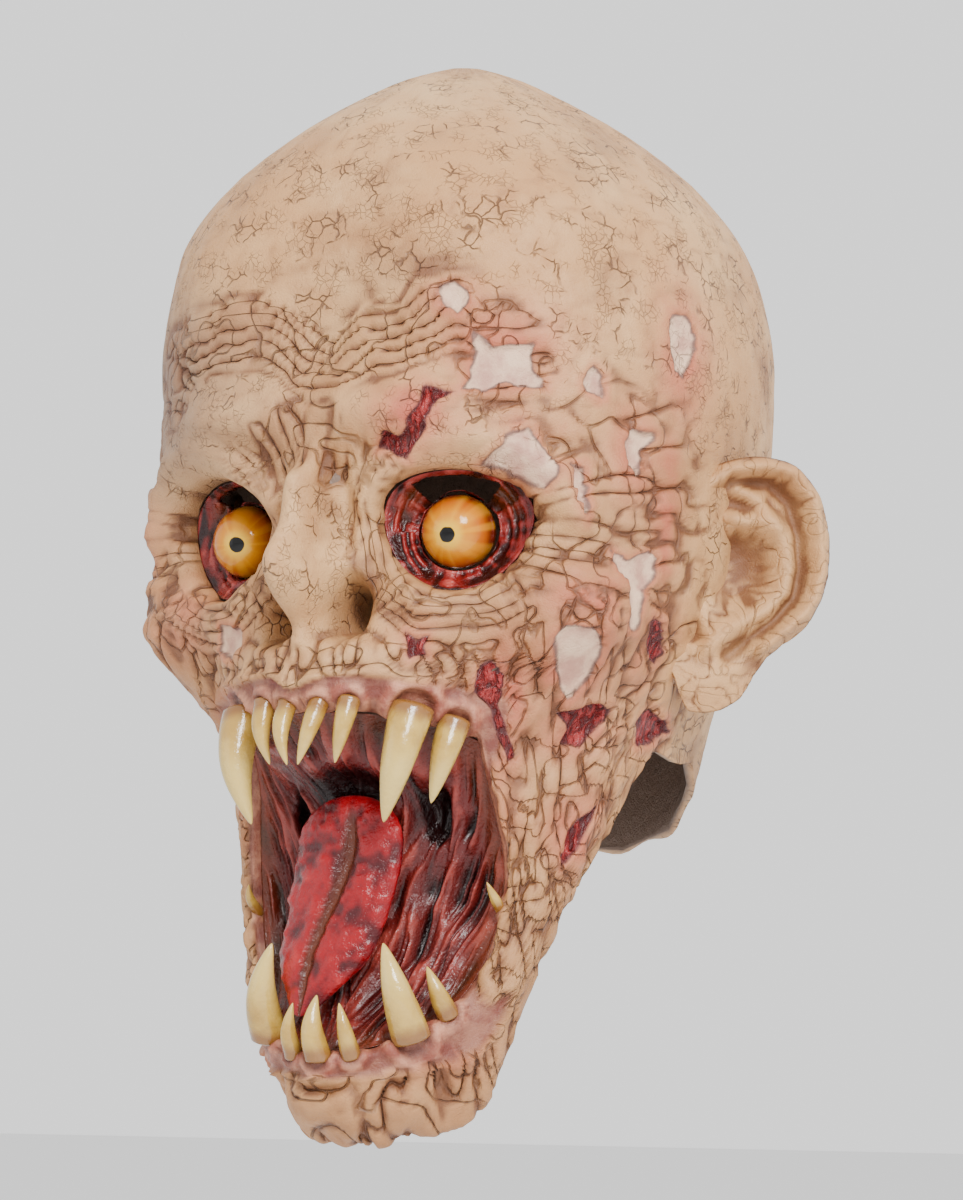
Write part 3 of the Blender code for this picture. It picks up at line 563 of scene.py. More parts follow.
# %% Tears in the skin
TEARS = (
    # name, kind, side, depth in millimetres, corners of (turn, drop share)
    ("star", "bone", 1, 1.3,
     ((37.7, 0.279), (40.7, 0.294), (44, 0.291), (49, 0.288), (48.7, 0.300), (49, 0.315), (50.7, 0.328),
      (47.7, 0.331), (43.2, 0.324), (40, 0.335), (35, 0.333), (37.2, 0.310), (38, 0.298))),
    ("round", "bone", 1, 1.3,
     ((30.7, 0.240), (34, 0.236), (36.7, 0.244), (37.2, 0.254), (34.7, 0.264), (32.0, 0.258))),
    ("small_oval", "bone", 1, 1.4,
     ((59.2, 0.307), (61.7, 0.315), (60.7, 0.336), (58.7, 0.334), (57.5, 0.324))),
    ("long_oval", "bone", 1, 1.3,
     ((76.5, 0.257), (80.2, 0.257), (82, 0.276), (80.7, 0.295), (78.5, 0.315), (76.2, 0.304),
      (75, 0.274))),
    ("temple", "bone", 1, 1.2,
     ((67.7, 0.362), (69.7, 0.364), (72.7, 0.361), (72.5, 0.369), (69.7, 0.382), (69.7, 0.404),
      (68.7, 0.402), (66.2, 0.394), (66.2, 0.377))),
    ("slot", "bone", 1, 1.6,
     ((54.2, 0.397), (57.5, 0.399), (58, 0.406), (57.5, 0.427), (56.7, 0.445), (55.7, 0.433),
      (54.5, 0.413))),
    ("brow", "bone", 1, 1.0,
     ((43.5, 0.372), (47.5, 0.367), (50, 0.379), (52.2, 0.395), (51.5, 0.410), (50.2, 0.420),
      (47.2, 0.414), (43, 0.401), (38, 0.394), (41, 0.385))),
    ("fork", "bone", 1, 1.2,
     ((62.2, 0.470), (66.2, 0.478), (71.2, 0.469), (73.5, 0.476), (73, 0.491), (69, 0.511),
      (68.7, 0.540), (66.5, 0.540), (65.5, 0.516), (65.5, 0.500), (63.7, 0.486))),
    ("cheek", "bone", 1, 1.4,
     ((51.7, 0.547), (55, 0.537), (59, 0.545), (61.7, 0.557), (61, 0.583), (58.7, 0.601), (56, 0.592),
      (53.5, 0.571))),
    ("far_cheek", "bone", -1, 1.4,
     ((29.2, 0.529), (23.7, 0.536), (21, 0.551), (24.5, 0.562), (31.7, 0.552))),
    ("small_star", "raw", 1, 1.2,
     ((23.5, 0.545), (25.7, 0.550), (28.5, 0.546), (27.2, 0.556), (28.2, 0.565), (25.5, 0.562),
      (23.7, 0.568), (24, 0.556))),
    ("under_cheek", "raw", 1, 1.7,
     ((56, 0.610), (60.2, 0.610), (65.7, 0.604), (69.5, 0.608), (67.2, 0.623), (63.5, 0.641),
      (59, 0.640), (60.2, 0.626))),
    ("jaw_corner", "raw", 1, 1.7,
     ((79, 0.616), (83, 0.606), (91, 0.613), (94, 0.624), (89, 0.630), (82.2, 0.638), (80.5, 0.638))),
    ("slit", "raw", 1, 1.5, ((73, 0.522), (77, 0.531), (80, 0.556), (79, 0.568), (75.2, 0.553))),
    ("lip_corner", "raw", 1, 1.6,
     ((38.7, 0.572), (41.7, 0.568), (44.2, 0.583), (43.5, 0.606), (46, 0.632), (48.7, 0.652),
      (46.7, 0.658), (43.7, 0.635), (41.5, 0.609), (37.5, 0.592))),
    ("brow_wound", "raw", 1, 1.4,
     ((28.2, 0.327), (27, 0.345), (22.5, 0.371), (19.2, 0.366), (17, 0.381), (20.5, 0.383),
      (24.7, 0.393), (27.5, 0.371), (30, 0.345), (34.2, 0.334))),
    ("hem", "raw", 1, 1.2,
     ((70, 0.693), (67.2, 0.706), (63.5, 0.733), (60, 0.746), (60.7, 0.725), (64.5, 0.701))),
    ("far_temple", "bone", -1, 1.3, ((62, 0.33), (66, 0.322), (70, 0.335), (68, 0.36), (63, 0.355))),
    ("far_side", "bone", -1, 1.3, ((72, 0.42), (77, 0.415), (79, 0.44), (75, 0.47), (71, 0.45))),
    ("far_jaw", "raw", -1, 1.6, ((60, 0.60), (68, 0.595), (70, 0.612), (64, 0.632), (59, 0.626))),
)


def ring_distance(points, corners):
    """Distance to a closed ring of corners in millimetres, negative inside."""
    ring = np.array([flat_place(*corner) for corner in corners])
    closed = np.concatenate([ring, ring[:1]])
    inside = np.zeros(len(points), bool)
    for (x1, y1), (x2, y2) in zip(closed[:-1], closed[1:]):
        crosses = (y1 > points[:, 1]) != (y2 > points[:, 1])
        inside ^= crosses & (points[:, 0] < (x2 - x1) * (points[:, 1] - y1) / (y2 - y1 + 1e-12) + x1)
    return path_distance(points, closed) * np.where(inside, -1, 1)


bone_edge, raw_edge = np.full(len(turn), 9.0), np.full(len(turn), 9.0)
fray = pair_noise(face_mm / 2.6, 31) * 0.7 + pair_noise(face_mm / 6, 33) * 0.8
for name, kind, side, depth, corners in TEARS:
    edge = ring_distance(face_mm * [side, 1] + fray, corners)
    inside = 1 - smooth_step(-1.1, 0.2, edge)
    lip_up = np.exp(-(((edge - 1.3) / 1.1) ** 2))
    strands = 0.5 * soft_noise(face_mm * [0.7, 0.16] + fray * 0.2, 35) if kind == "raw" else 0.0
    bed = -depth + strands
    carved = carved * (1 - inside) + bed * inside + 0.55 * lip_up
    ink = ink * (1 - inside)
    if kind == "bone":
        bone_edge = np.minimum(bone_edge, edge)
    else:
        raw_edge = np.minimum(raw_edge, edge)
bare = float((np.minimum(bone_edge, raw_edge) < 0).mean())
print("tears:", len(TEARS), "share of the grid that is bare:", round(bare, 3))

# %% [markdown]
# ## Gums and lips
#
# The skin ends above the upper teeth and below the lower ones, and pale pink gum shows between its edge and
# the mouth. Every tooth stands in a raised collar. The roots are found on the smooth head in the same way as
# the plain solids' roots, so a tooth and its collar always meet.

# %% Where the teeth stand, and the collars round them
FANG_LENGTH = 0.041
TEETH = (
    # name, across, down, length, radius, lean inward, lean forward
    ("upper_incisor", 0.11, -1.04, 0.47, 0.074, 0.20, 0.32),
    ("upper_side_incisor", 0.30, -1.06, 0.47, 0.080, 0.18, 0.14),
    ("upper_fang", 0.66, -1.07, 0.97, 0.155, 0.19, 0.17),
    ("upper_small_fang", 0.90, -1.05, 0.62, 0.115, 0.20, 0.22),
    ("lower_incisor", 0.00, 1.03, 0.47, 0.100, 0.00, 0.06),
    ("lower_side_incisor", 0.26, 1.03, 0.39, 0.070, 0.12, 0.24),
    ("lower_fang", 0.71, 1.04, 0.72, 0.140, 0.19, 0.27),
    ("lower_small_fang", 0.98, 1.03, 0.36, 0.080, 0.28, 0.38),
    ("lower_side_tooth", 1.02, 0.31, 0.20, 0.042, 0.12, 0.80),
)


def rim_point(hole, across, down):
    """Point of the skin beside an opening, in grid shares of its half sizes, before it is drawn round."""
    turn = np.array([hole["turn"] + across * hole["half_turn"]])
    section = np.array([hole["section"] + down * hole["half_section"]])
    turn, section, ring = drawn_round(hole, turn, section)
    rings = {name: ring if name == hole["name"] else np.array([9.0]) for name in AIMS}
    return Vector(surface(turn, section, rings)[0])


def tooth_roots():
    """Name, root, axis and radius in metres of every tooth, mirrored where it has a twin."""
    for name, across, down, length, radius, inward, forward in TEETH:
        for side, word in ((1, "_left"), (-1, "_right")) if across else ((1, ""),):
            gum = rim_point(MOUTH, across, down)
            gum.x *= side
            axis = Vector((-inward * side, -forward, -1 if down < 0 else 1)) * length * FANG_LENGTH
            yield name + word, gum, axis, radius * FANG_LENGTH


mouth_ring = rings["mouth"]
up_or_down = (section - MOUTH["section"]) / MOUTH["half_section"]
gum_reach = 1.05 + 0.17 * smooth_step(0.55, 1.0, np.abs(up_or_down)) + 0.02 * ripple[:, 0]
gum_reach = gum_reach - 0.10 * np.exp(-((across / 7) ** 2)) * (up_or_down < 0)
gum = (1 - smooth_step(gum_reach - 0.012, gum_reach + 0.016, mouth_ring)) * (1 - under_jaw)
skin_edge = np.exp(-(((mouth_ring - gum_reach - 0.035) / 0.022) ** 2)) * (1 - under_jaw)
collar = np.zeros(len(turn))
tooth_shade = np.zeros(len(turn))
for name, root, axis, radius in tooth_roots():
    away = np.linalg.norm(smooth_skin - np.array(root), axis=1) * 1000
    wide = radius * 1000
    swelling = (1.3 + 0.24 * wide) * np.exp(-(((away - wide * 1.35) / (1.1 + 0.22 * wide)) ** 2))
    collar = np.maximum(collar, swelling)
    tooth_shade = np.maximum(tooth_shade, np.exp(-(((away - wide * 0.95) / 1.3) ** 2)))
gum_folds = 0.5 * soft_noise(np.stack([across / 4.0, mouth_ring * 26], axis=1), 81)
carved = carved * (1 - gum) + (1.2 * gum_folds - 1.0) * gum + collar * np.maximum(gum, 0.35) + 1.5 * skin_edge
ink, plain = ink * (1 - gum), plain * (1 - gum)
print("gum covers", round(float((gum > 0.5).mean()) * 100, 1), "percent of the grid")

# %% [markdown]
# ## What the brush follows
#
# Pink soreness, a greyish painted shade on the side away from the lamp, and the depth of every groove are
# worked out here too, as one number a point.
# Paint rubbed on a real mask stays in whatever lies lower than its surroundings, so the difference between
# the carving and its own blurred copy is the natural guide for the brown wash.


# %% What the paint needs to know
def blurred(values, shape, width):
    """Average of each grid value with its neighbours, to compare a point with its surroundings."""
    grid = values.reshape(shape)
    for axis in (0, 1):
        padded = np.pad(grid, [(width, width) if a == axis else (0, 0) for a in (0, 1)], mode="edge")
        total = np.insert(np.cumsum(padded, axis=axis), 0, 0, axis=axis)
        span, places = 2 * width + 1, np.arange(grid.shape[axis])
        grid = (np.take(total, places + span, axis=axis) - np.take(total, places, axis=axis)) / span
    return grid.ravel()


skin_shape = (len(fine_sections), len(fine_turns))
fine_groove = np.clip((blurred(carved, skin_shape, 3) - carved) / 0.42, 0, 1)
wide_groove = np.clip((blurred(carved, skin_shape, 9) - carved) / 1.1, 0, 1)
wash = np.clip(fine_groove + 0.8 * wide_groove, 0, 1)
_, at_turn, at_drop, half_turn, half_drop, _, _ = PITS[0]
away = ((np.abs(turn) - at_turn) / half_turn) ** 2 + ((drop_share - at_drop) / half_drop) ** 2
wash = np.clip(wash + np.exp(-(away**2)), 0, 1)

SORE_SPOTS = (
    # turn, drop share, half turn, half drop, strength, side
    (44, 0.300, 12, 0.045, 0.75, 1), (26, 0.355, 9, 0.035, 0.9, 1), (34, 0.252, 7, 0.02, 0.6, 1),
    (48, 0.365, 8, 0.02, 0.6, 1), (79, 0.290, 7, 0.06, 0.8, 1), (68, 0.385, 6, 0.05, 0.7, 1),
    (76, 0.44, 4, 0.09, 0.75, 1), (58, 0.515, 9, 0.03, 0.7, 1), (57, 0.570, 9, 0.05, 0.75, 1),
    (44, 0.610, 7, 0.06, 1.0, 1), (63, 0.625, 11, 0.03, 0.8, 1), (76, 0.545, 7, 0.05, 0.6, 1),
    (30, 0.600, 16, 0.02, 0.5, 0), (64, 0.715, 8, 0.04, 0.8, 1), (27, 0.545, 8, 0.02, 0.4, 0),
    (46, 0.68, 5, 0.05, 0.5, 0), (45, 0.52, 10, 0.04, 0.5, -1), (60, 0.44, 9, 0.06, 0.5, -1),
    (30, 0.90, 12, 0.03, 0.7, 0), (5, 0.905, 25, 0.02, 0.5, 0),
)
sore = np.zeros(len(turn))
for at_turn, at_drop, half_turn, half_drop, strength, side in SORE_SPOTS:
    at = np.abs(turn) if side == 0 else turn * side
    away = ((at - at_turn) / half_turn) ** 2 + ((drop_share - at_drop) / half_drop) ** 2
    sore = np.maximum(sore, strength * np.exp(-away))
sore = sore * (1 - under_jaw)
halo = np.exp(-((np.clip(np.minimum(bone_edge, raw_edge), 0, None) / 3.0) ** 2))
sore = np.clip(np.maximum(sore, 0.55 * halo), 0, 1)
# painted shade: a greyish band at forehead height, strongest on the side of the head away from the lamp
dusk_band = smooth_step(0.20, 0.30, drop_share) * (1 - smooth_step(0.36, 0.44, drop_share))
dusk = np.clip(smooth_step(10, -55, turn) * dusk_band, 0, 1)
print("strongest wash, soreness and dusk:", round(wash.max(), 2), round(sore.max(), 2), round(dusk.max(), 2))

# %% [markdown]
# ## From carving to one closed skin
#
# The carved points are put on the sheet, the eye and mouth squares are cut out, and the seam at the back of
# the head is welded. The inside is a second, coarser sheet one wall deeper. bridge_loops joins the two along
# each rim, which gives the skin its thickness at the eyes, the lips and the neck without a modifier.


# %% The outer skin
def keep_on_mesh(sheet, **fields):
    """Stores one number for each point under each name, where the paint can read it."""
    for name, values in fields.items():
        layer = sheet.verts.layers.float.new(name)
        for vertex, value in zip(sheet.verts, values.tolist()):
            vertex[layer] = value


def meet_at_seam(points, shape):
    """Makes the grid's first and last column meet at the back, and draws the crown's row into one point."""
    grid = points.reshape(*shape, 3)
    grid[:, [0, -1]] = grid[:, [0, -1]].mean(axis=1, keepdims=True)
    crown = int(np.argmax(grid[:, :, 2].mean(axis=1)))
    grid[crown] = grid[crown].mean(axis=0)
    return grid.reshape(-1, 3)


def cut_openings(sheet, rings):
    """Deletes the faces inside the eye and mouth rims."""
    sheet.verts.index_update()
    inside = [rings["eye"] < RIM_SHARE, rings["mouth"] < RIM_SHARE]
    gone = [f for f in sheet.faces if any(all(hole[v.index] for v in f.verts) for hole in inside)]
    bmesh.ops.delete(sheet, geom=gone, context="FACES")


fade = smooth_step(180, 168, np.abs(turn)) * smooth_step(0.0, 0.02, drop_share)
carved_skin = meet_at_seam(smooth_skin + outward * (carved * fade)[:, None] * MM, skin_shape)
put_points(skin, carved_skin)
keep_on_mesh(skin, fold_a=fold_a, fold_b=fold_b, ink=ink, wash=wash, bone_edge=bone_edge, raw_edge=raw_edge,
             sore=sore, gum=gum, dusk=dusk, plain=plain, tooth_shade=tooth_shade * gum,
             inside=np.zeros(len(turn)))
cut_openings(skin, rings)
bmesh.ops.remove_doubles(skin, verts=skin.verts, dist=1e-5)
bmesh.ops.recalc_face_normals(skin, faces=skin.faces)
print("outer skin faces:", len(skin.faces))

# %% The inner skin and the rims
INNER_STEPS = ([4.0] * 6 + [9, 12], [0.9, 0.3, 0.08, 0.3, 0.08, 0.3, 0.16, 0.30, 0.16, 0.4, 0.7])


def rim_loops(edges):
    """Groups open edges into loops, each with the place of its middle."""
    left, loops = set(edges), []
    while left:
        loop, grow = [], [left.pop()]
        while grow:
            edge = grow.pop()
            loop.append(edge)
            joined = {other for vertex in edge.verts for other in vertex.link_edges if other in left}
            left -= joined
            grow += joined
        loops.append((sum((v.co for e in loop for v in e.verts), Vector()) / (2 * len(loop)), loop))
    return loops


inner_turns = both_sides(stations(FACE_STOPS, INNER_STEPS[0]))
inner_rows = stations(ROW_STOPS, INNER_STEPS[1])
inner, inner_turn, inner_section, inner_rings = placed_grid(inner_turns, inner_rows)
put_points(inner, head_points(inner_turn, inner_section, inner_rings))
inner.normal_update()
head_middle = Vector((0, 0, -MASK_HEIGHT * 0.4))
facing_out = sum(f.normal.dot(f.calc_center_median() - head_middle) > 0 for f in inner.faces)
wall = WALL if facing_out * 2 > len(inner.faces) else -WALL
inside_skin = np.array([vertex.co - vertex.normal * wall for vertex in inner.verts])
put_points(inner, meet_at_seam(inside_skin, (len(inner_rows), len(inner_turns))))
cut_openings(inner, inner_rings)
bmesh.ops.remove_doubles(inner, verts=inner.verts, dist=1e-4)
inner_mesh = bpy.data.meshes.new("inner")
inner.to_mesh(inner_mesh)
inner.free()
outer_loops = rim_loops([e for e in skin.edges if e.is_boundary])
outer_edges, outer_verts = set(skin.edges), set(skin.verts)
skin.from_mesh(inner_mesh)
bpy.data.meshes.remove(inner_mesh)
inner_loops = rim_loops([e for e in skin.edges if e.is_boundary and e not in outer_edges])
inside_layer = skin.verts.layers.float["inside"]
for vertex in skin.verts:
    vertex[inside_layer] = 0.0 if vertex in outer_verts else 1.0
for middle, loop in outer_loops:
    match = min(inner_loops, key=lambda other: (other[0] - middle).length)
    bmesh.ops.bridge_loops(skin, edges=loop + match[1])
print("rims:", [len(loop) for _, loop in outer_loops])
print("edges still open:", sum(e.is_boundary for e in skin.edges))
bmesh.ops.recalc_face_normals(skin, faces=skin.faces)


def finished_piece(sheet, name, material, slot, *replaced):
    """Turns a bmesh into a smooth-shaded piece on the mask's only body, in place of its plain solids."""
    mesh = bpy.data.meshes.new(name)
    sheet.to_mesh(mesh)
    sheet.free()
    mesh.shade_smooth()
    mesh.materials.append(material)
    piece = bpy.data.objects.new(name, mesh)
    bpy.context.scene.collection.objects.link(piece)
    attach(piece, "root")
    if replaced:
        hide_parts(*replaced)
    print(name, "triangles:", sum(len(f.vertices) - 2 for f in mesh.polygons))


# %% [markdown]
# ## Paint and finish
#
# A material is a small graph of nodes. The helper below adds a node, fills its sockets and returns it, so
# that a recipe reads from top to bottom. The skin's recipe is the longest: cream latex mottled with tan, pink
# where it is sore, a brown wash in the grooves, thin dark lines in the creases, and bone or flesh inside the
# tears.


# %% A helper that adds nodes
class Paint:
    """A material and a short way to add nodes to it."""

    def __init__(self, name):
        self.material = bpy.data.materials.new(name)
        self.material.use_nodes = True
        self.tree = self.material.node_tree
        self.shader = self.tree.nodes["Principled BSDF"]
        self.place = self.node("TexCoord").outputs["Object"]

    def node(self, kind, inputs=(), **settings):
        made = self.tree.nodes.new("ShaderNode" + kind)
        for name, value in settings.items():
            setattr(made, name, value)
        for socket, value in dict(inputs).items():
            self.fill(made.inputs[socket], value)
        return made

    def fill(self, socket, value):
        if isinstance(value, bpy.types.NodeSocket):
            self.tree.links.new(value, socket)
        elif socket.type == "RGBA" and len(value) == 3:
            socket.default_value = (*value, 1)
        else:
            socket.default_value = value

    def attribute(self, name):
        return self.node("Attribute", attribute_name=name).outputs["Fac"]

    def noise(self, scale, detail=3, roughness=0.55, place=None):
        sockets = {"Vector": place or self.place, "Scale": scale, "Detail": detail, "Roughness": roughness}
        return self.node("TexNoise", sockets).outputs["Fac"]

    def warped(self, scale, amount):
        """The place shaken by noise, so that what is drawn there doesn't run straight."""
        shake = self.node("TexNoise", {"Vector": self.place, "Scale": scale, "Detail": 2}).outputs["Color"]
        off = self.node("VectorMath", {0: shake, 1: (0.5, 0.5, 0.5)}, operation="SUBTRACT").outputs[0]
        off = self.node("VectorMath", {0: off, "Scale": amount}, operation="SCALE").outputs[0]
        return self.node("VectorMath", {0: self.place, 1: off}, operation="ADD").outputs[0]

    def hairlines(self, scale, width, place):
        """1 in the thin cracks between cells, 0 elsewhere."""
        sockets = {"Vector": place, "Scale": scale}
        cells = self.node("TexVoronoi", sockets, feature="DISTANCE_TO_EDGE")
        return self.spread(cells.outputs["Distance"], 0.0, width, 1.0, 0.0)

    def spread(self, value, low, high, to_low=0.0, to_high=1.0):
        sockets = {"Value": value, "From Min": low, "From Max": high, "To Min": to_low, "To Max": to_high}
        return self.node("MapRange", sockets, interpolation_type="SMOOTHSTEP").outputs["Result"]

    def math(self, operation, a, b=0.0):
        return self.node("Math", {0: a, 1: b}, operation=operation).outputs[0]

    def times(self, *values):
        total = values[0]
        for value in values[1:]:
            total = self.math("MULTIPLY", total, value)
        return total

    def mix(self, share, a, b):
        made = self.node("Mix", data_type="RGBA")
        for index, value in ((0, share), (6, a), (7, b)):
            self.fill(made.inputs[index], value)
        return made.outputs[2]

    def bump(self, height, distance):
        return self.node("Bump", {"Height": height, "Distance": distance, "Strength": 1.0}).outputs["Normal"]

    def finish(self, **sockets):
        for name, value in sockets.items():
            self.fill(self.shader.inputs[name.replace("_", " ")], value)
        return self.material


# %% Painted latex
CREAM = (0.52, 0.26, 0.098)
PALE = (0.67, 0.40, 0.18)
TAN = (0.30, 0.115, 0.036)
BROWN = (0.060, 0.017, 0.006)
PINK = (0.46, 0.075, 0.045)
PAINTED_SHADE_MAUVE = (0.19, 0.105, 0.07)
BONE = (0.72, 0.47, 0.31)
RAW = (0.30, 0.022, 0.020)
GUM = (0.56, 0.24, 0.14)
HAZE_BROWN = (0.36, 0.155, 0.055)
STAIN_BROWN = (0.135, 0.042, 0.013)
SHADED_BONE = (0.48, 0.24, 0.17)
DARK_FLESH = (0.06, 0.004, 0.005)
DEEP_GUM = (0.26, 0.06, 0.035)
ROOT_PAINTED_SHADE_BROWN = (0.10, 0.028, 0.014)
GUM_GROOVE = (0.09, 0.018, 0.014)
TORN_EDGES = (("bone_edge", (0.10, 0.042, 0.035)), ("raw_edge", (0.12, 0.03, 0.03)))
INSIDE_BROWN = (0.16, 0.10, 0.07)
CREASE_WIDTHS = (("fold_a", 0.13), ("fold_b", 0.10))
WET_ROUGHNESS = (0.28, 0.28, 0.28)


def bare_colours(paint, colour, raw_in, sinew):
    """Lays gum, bone, flesh and the dark edges of the tears over the skin's colour."""
    bone_in = paint.spread(paint.attribute("bone_edge"), -0.5, 0.15, 1.0, 0.0)
    bare = paint.mix(paint.spread(paint.noise(130, 4), 0.35, 0.7), BONE, SHADED_BONE)
    flesh = paint.mix(sinew, DARK_FLESH, RAW)
    gums = paint.mix(paint.spread(paint.noise(110, 5, 0.6), 0.35, 0.62), DEEP_GUM, GUM)
    # painted shade: the gum darkens brown in a ring round each tooth
    gums = paint.mix(paint.times(paint.attribute("tooth_shade"), 0.75), gums, ROOT_PAINTED_SHADE_BROWN)
    gums = paint.mix(paint.times(paint.attribute("wash"), 0.55), gums, GUM_GROOVE)
    colour = paint.mix(paint.attribute("gum"), colour, gums)
    colour = paint.mix(bone_in, colour, bare)
    colour = paint.mix(raw_in, colour, flesh)
    for edge_name, tone in TORN_EDGES:
        edge = paint.math("ABSOLUTE", paint.math("ADD", paint.attribute(edge_name), 0.25))
        broken = paint.spread(paint.noise(260, 2), 0.3, 0.55, 0.4, 1.0)
        line = paint.times(paint.spread(edge, 0.0, 0.75, 1.0, 0.0), broken)
        colour = paint.mix(paint.times(line, 0.8), colour, tone)
    return paint.mix(paint.attribute("inside"), colour, INSIDE_BROWN)


def latex_recipe(name, reads_tears):
    """Mottled cream latex with brown in its grooves. The ears leave out the tears and gums."""
    paint = Paint(name)
    ink, wash = paint.attribute("ink"), paint.attribute("wash")
    colour = paint.mix(paint.spread(paint.noise(11, 5, 0.65), 0.35, 0.65), CREAM, PALE)
    tan_share = paint.times(paint.spread(paint.noise(24, 6, 0.7), 0.46, 0.68), 0.55)
    colour = paint.mix(tan_share, colour, TAN)
    haze = paint.times(ink, paint.spread(paint.noise(30, 5, 0.65), 0.30, 0.62, 0.25, 0.85))
    colour = paint.mix(haze, colour, HAZE_BROWN)
    if reads_tears:
        blush = paint.times(paint.attribute("sore"), paint.spread(paint.noise(90, 4), 0.25, 0.6, 0.45, 1.0))
        colour = paint.mix(blush, colour, PINK)
        # painted shade: mauve laid over the side of the head away from the lamp
        colour = paint.mix(paint.times(paint.attribute("dusk"), 0.75), colour, PAINTED_SHADE_MAUVE)
    shaken = paint.warped(140, 0.006)
    bald = paint.spread(paint.attribute("plain"), 0.0, 1.0, 0.12, 1.0)
    fine_patches = paint.spread(paint.noise(95, 3), 0.50, 0.62)
    finer_patches = paint.spread(paint.noise(120, 3), 0.48, 0.62)
    fine = paint.times(paint.hairlines(170, 0.06, shaken), fine_patches, bald)
    finer = paint.times(paint.hairlines(420, 0.08, shaken), finer_patches, bald)
    in_folds = paint.spread(paint.attribute("plain"), 0.25, 0.8, 1.0, 0.0)
    folded = paint.times(in_folds, paint.spread(ink, 0.22, 0.55))
    creases = []
    for fold, width in CREASE_WIDTHS:
        line = paint.spread(paint.math("ABSOLUTE", paint.attribute(fold)), 0.0, width, 1.0, 0.0)
        broken = paint.spread(paint.noise(150, 2), 0.25, 0.55, 0.35, 1.0)
        creases.append(paint.times(line, ink, folded, broken))
    crease = paint.math("MAXIMUM", *creases)
    marks = paint.math("MAXIMUM", paint.times(crease, 0.52), paint.times(fine, 0.7))
    marks = paint.math("MAXIMUM", marks, paint.times(finer, 0.35))
    stain = paint.times(wash, paint.spread(paint.noise(60, 5), 0.2, 0.6, 0.55, 1.0))
    colour = paint.mix(paint.times(stain, 0.9), colour, STAIN_BROWN)
    colour = paint.mix(marks, colour, BROWN)
    rough = paint.spread(paint.noise(120, 3), 0.3, 0.7, 0.46, 0.62)
    height = paint.math("SUBTRACT", 1.0, paint.math("MAXIMUM", crease, paint.times(fine, 0.6)))
    height = paint.math("SUBTRACT", height, paint.times(finer, 0.25))
    height = paint.math("ADD", height, paint.times(paint.noise(1400, 3, 0.7), 0.35))
    if reads_tears:
        raw_in = paint.spread(paint.attribute("raw_edge"), -0.5, 0.15, 1.0, 0.0)
        squeeze = {"Vector": paint.warped(90, 0.008), "Scale": (1, 1, 0.16)}
        strings = paint.node("Mapping", squeeze).outputs[0]
        sinew = paint.spread(paint.noise(420, 4, 0.6, strings), 0.38, 0.62)
        colour = bare_colours(paint, colour, raw_in, sinew)
        wet = paint.math("MAXIMUM", raw_in, paint.times(paint.attribute("gum"), 0.6))
        grey = paint.node("CombineColor", {0: rough, 1: rough, 2: rough}).outputs[0]
        rough = paint.node("SeparateColor", {0: paint.mix(wet, grey, WET_ROUGHNESS)}).outputs[0]
        height = paint.math("ADD", height, paint.times(raw_in, sinew, 1.2))
    return paint.finish(Base_Color=colour, Roughness=rough, Normal=paint.bump(height, 0.0011))


latex_paint = latex_recipe("painted_latex", True)
finished_piece(skin, "hood_skin", latex_paint, "latex_skin", "hood")
ear_paint = latex_recipe("painted_ear_latex", False)

# %% [markdown]
# ## Ears
#
# The ears are glued on at the temples. Their rim, inner ridge and bowl are easiest to shape lying flat. The
# sheet below is drawn to the ear's outline, raised along the ridges and pressed in at the bowl, stood up at
# the temple and given its thickness last. Ridges are lines in the flat ear, and the height of a point depends
# only on how far it is from them.

# %% Ear outline and ridges, in millimetres from the ear's middle height and its root
EAR_DROP = 0.175
EAR_FLARE = math.radians(46)
EAR_MIDDLE = (14.0, 0.0)
EAR_OUTLINE = (
    # angle from straight out, distance from the middle
    (0, 27.0), (14, 29.0), (30, 32.8), (44, 36.8), (58, 40.5), (71, 42.4), (86, 41.6), (102, 39.9),
    (118, 38.3), (133, 34.0), (180, 24.0), (232, 37.8), (245, 45.0), (252, 43.5), (259, 41.1),
    (268, 36.5), (276, 29.7), (287, 24.4), (303, 22.8), (327, 24.5), (343, 25.1), (356, 26.6), (360, 27.0),
)
EAR_RIDGES = (
    # name, height, half width, path of (out, up)
    ("rim", 7.0, 3.6,
     ((-4, 24), (-2, 30), (8, 37), (20, 38.5), (30, 36.5), (36.5, 28), (39, 16), (39, 4), (36.5, -3.5),
      (33, -9), (26, -14.5), (19, -20))),
    ("inner_ridge", 5.5, 4.0,
     ((12, 21), (20, 20), (26.5, 15), (28, 6), (26, -2), (20, -8), (10, -13), (1, -19))),
    ("upper_arm", 3.0, 2.6, ((12, 31), (19, 27), (25, 19))),
    ("groove", -3.0, 2.3,
     ((10, 33), (23, 33.5), (30, 27), (33, 16), (33.3, 5.5), (31.5, -3.3), (25, -11), (17, -17.4),
      (8, -23))),
    ("upper_pit", -3.5, 3.4, ((7, 27), (13, 25))),
    ("front_flap", 4.5, 3.4, ((-5, 18), (-2, 11), (1, 3))),
    ("notch", -4.0, 2.4, ((-7, 8), (-4.6, -4), (-2, -17))),
    ("lobe", 3.5, 8.0, ((1.5, -32), (4, -29))),
)
# the bowl: out, up, half out, half up, depth
EAR_BOWL = (11.5, 6.0, 11.0, 12.0, -9.0)
EAR_GRID = (72, 96)
EAR_THICKNESS = 0.0032
EAR_BACK_SMOOTHING = 14
EAR_ROOT_SHARE = 0.93


